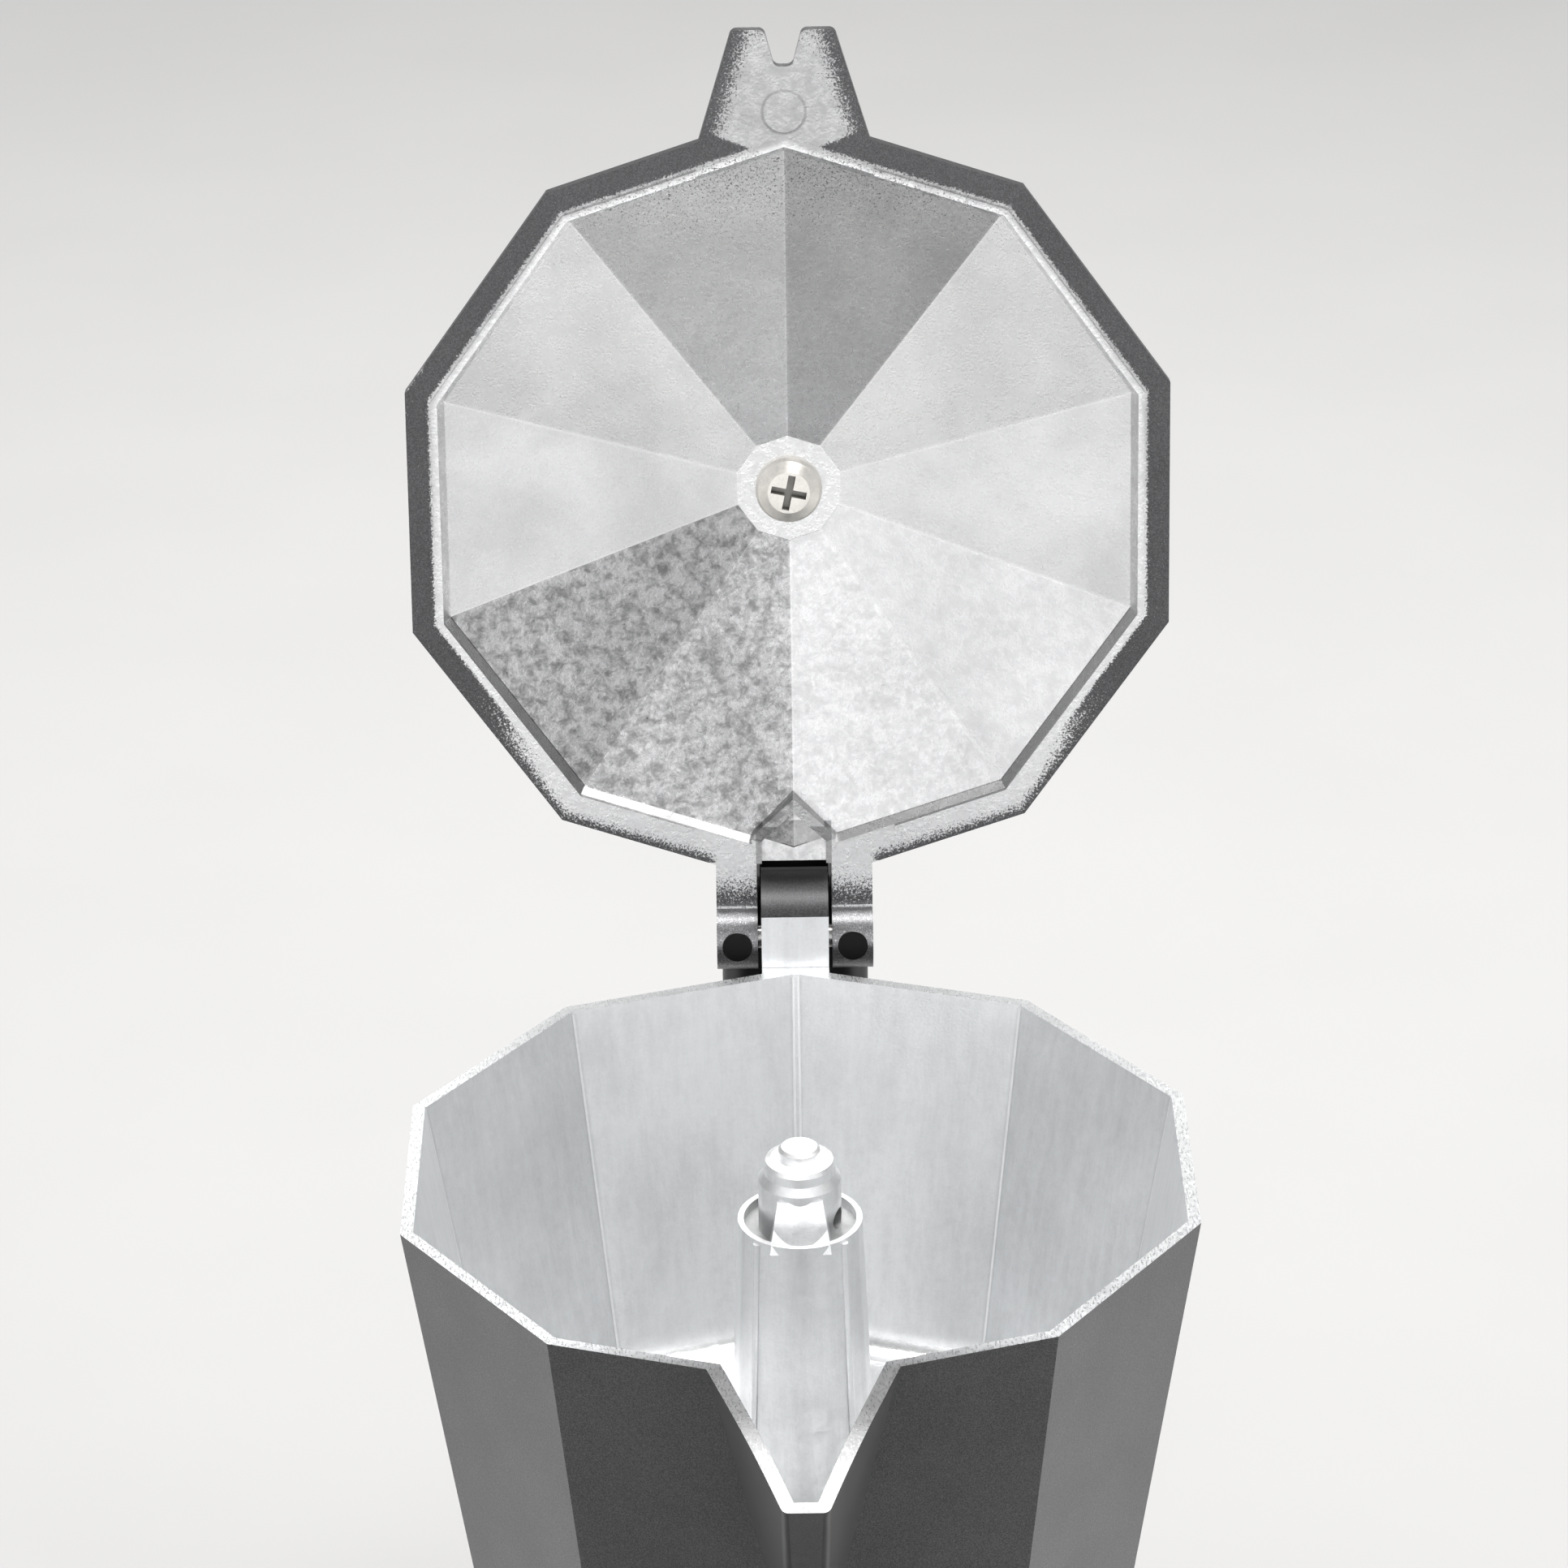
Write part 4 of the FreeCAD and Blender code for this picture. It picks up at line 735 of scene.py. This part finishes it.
# painted shadow: a darker patch in front of the pot
SHADOW_PATCH_MIDDLE = (0, -0.27, 0)
SHADOW_PATCH_PAINTED_SHADE = Step(0.1, 0.4, 0.78, 0.0)


def floor_material():
    """Matt card with painted light and shade: paler before the pot than behind it, with a darker painted
    shadow patch under the spout.
    """
    graph = Finish("floor_finish")
    x, y = graph.split(graph.place)[:2]
    painted_shadow = graph.step(graph.distance(x, y, SHADOW_PATCH_MIDDLE), SHADOW_PATCH_PAINTED_SHADE)
    clouds = graph.vary(graph.noise(FLOOR_CLOUDS), *FLOOR_CLOUD_TONES)
    level = graph.product(graph.step(y, FLOOR_PAINTED_LIGHT), graph.less(1, painted_shadow), clouds)
    graph.set("Base Color", graph.tinted(level, FLOOR_TINT))
    graph.set("Roughness", FLOOR_ROUGH)
    return graph.material


def make_floor():
    bpy.ops.mesh.primitive_plane_add(size=FLOOR_SIZE)
    floor = bpy.context.object
    floor.name = "floor"
    floor.data.materials.append(floor_material())


# ---- light ----

SKY_LEVEL = 0.3
SKY_TINT = (1.0, 1.0, 1.005)
BRIGHT_SPOTS = [
    # direction, inner and outer half angle in degrees, gain
    ((-0.45, -0.89, 0.02), 22, 60, 1.05),
    ((0.50, -0.86, -0.02), 20, 55, 0.95),
    ((0.0, -0.93, 0.36), 10, 34, 0.25),
    ((0.0, -0.1, 1.0), 15, 75, 0.15),
]
DARK_SPOT = ((0.34, -0.92, 0.16), 6, 15, 0.5)
LAMPS = [
    # name, place, aim, size, power in watts, colour
    ("key", (0.05, 0.28, 0.85), (0, 0.2, 0), (0.9, 0.6), 15, (1.0, 0.99, 0.98)),
    ("back", (0, 1.7, 1.3), (0, 1.5, 0), (1.6, 1.0), 4, (1.0, 1.0, 1.0)),
]


def area_light(name, place, aim, size, power, colour):
    """A rectangular lamp at a place, turned to its aim."""
    data = bpy.data.lights.new(name, "AREA")
    data.shape = "RECTANGLE"
    data.size, data.size_y = size
    data.energy = power
    data.color = colour
    light = bpy.data.objects.new(name, data)
    light.location = place
    light.rotation_euler = (Vector(aim) - Vector(place)).to_track_quat("-Z", "Y").to_euler()
    bpy.context.scene.collection.objects.link(light)


def sky_spot(graph, aim, inner, outer, gain):
    """A round soft spot of the sky: gain inside the inner angle, and 0 outside the outer one."""
    closeness = graph.vector("DOT_PRODUCT", graph.direction, tuple(Vector(aim).normalized()))
    edge = Step(math.cos(math.radians(outer)), math.cos(math.radians(inner)))
    return graph.product(graph.step(closeness, edge), gain)


def make_sky():
    """Even pale surroundings with soft bright spots in front, and one dark gap between them."""
    world = bpy.data.worlds.new("studio")
    world.use_nodes = True
    graph = Graph(world.node_tree)
    bright = graph.total(SKY_LEVEL, *(sky_spot(graph, *spot) for spot in BRIGHT_SPOTS))
    level = graph.product(bright, graph.less(1, sky_spot(graph, *DARK_SPOT)))
    background = world.node_tree.nodes.new("ShaderNodeBackground")
    output = world.node_tree.nodes.new("ShaderNodeOutputWorld")
    graph.put(graph.tinted(level, SKY_TINT), background.inputs["Color"])
    world.node_tree.links.new(background.outputs[0], output.inputs["Surface"])
    bpy.context.scene.world = world


def make_light():
    make_sky()
    for lamp in LAMPS:
        area_light(*lamp)


# ---- camera, fitted to the rim's corners in the photo ----

CAMERA_PLACE = Vector((-0.0407, -12.180, 7.0594)) * RIM_RADIUS + Vector((0, 0, RIM))
CAMERA_DOWN = math.radians(26.354)
CAMERA_TURN = math.radians(-0.076)
CAMERA_ROLL = math.radians(-0.797)
LENS_MM = 133.2
SENSOR_MM = 36
CLIP_START = 0.01


def make_camera():
    data = bpy.data.cameras.new("camera")
    data.lens = LENS_MM
    data.sensor_width = SENSOR_MM
    data.clip_start = CLIP_START
    camera = bpy.data.objects.new("camera", data)
    look = Euler((math.pi / 2 - CAMERA_DOWN, 0, 0)).to_matrix()
    swing = Matrix.Rotation(CAMERA_TURN, 3, "Z")
    roll = Matrix.Rotation(CAMERA_ROLL, 3, "Z")
    camera.matrix_world = Matrix.Translation(CAMERA_PLACE) @ (swing @ look @ roll).to_4x4()
    bpy.context.scene.collection.objects.link(camera)
    bpy.context.scene.camera = camera


dress_nodes()
make_floor()
make_light()
make_camera()
bpy.context.scene.view_settings.view_transform = "Standard"
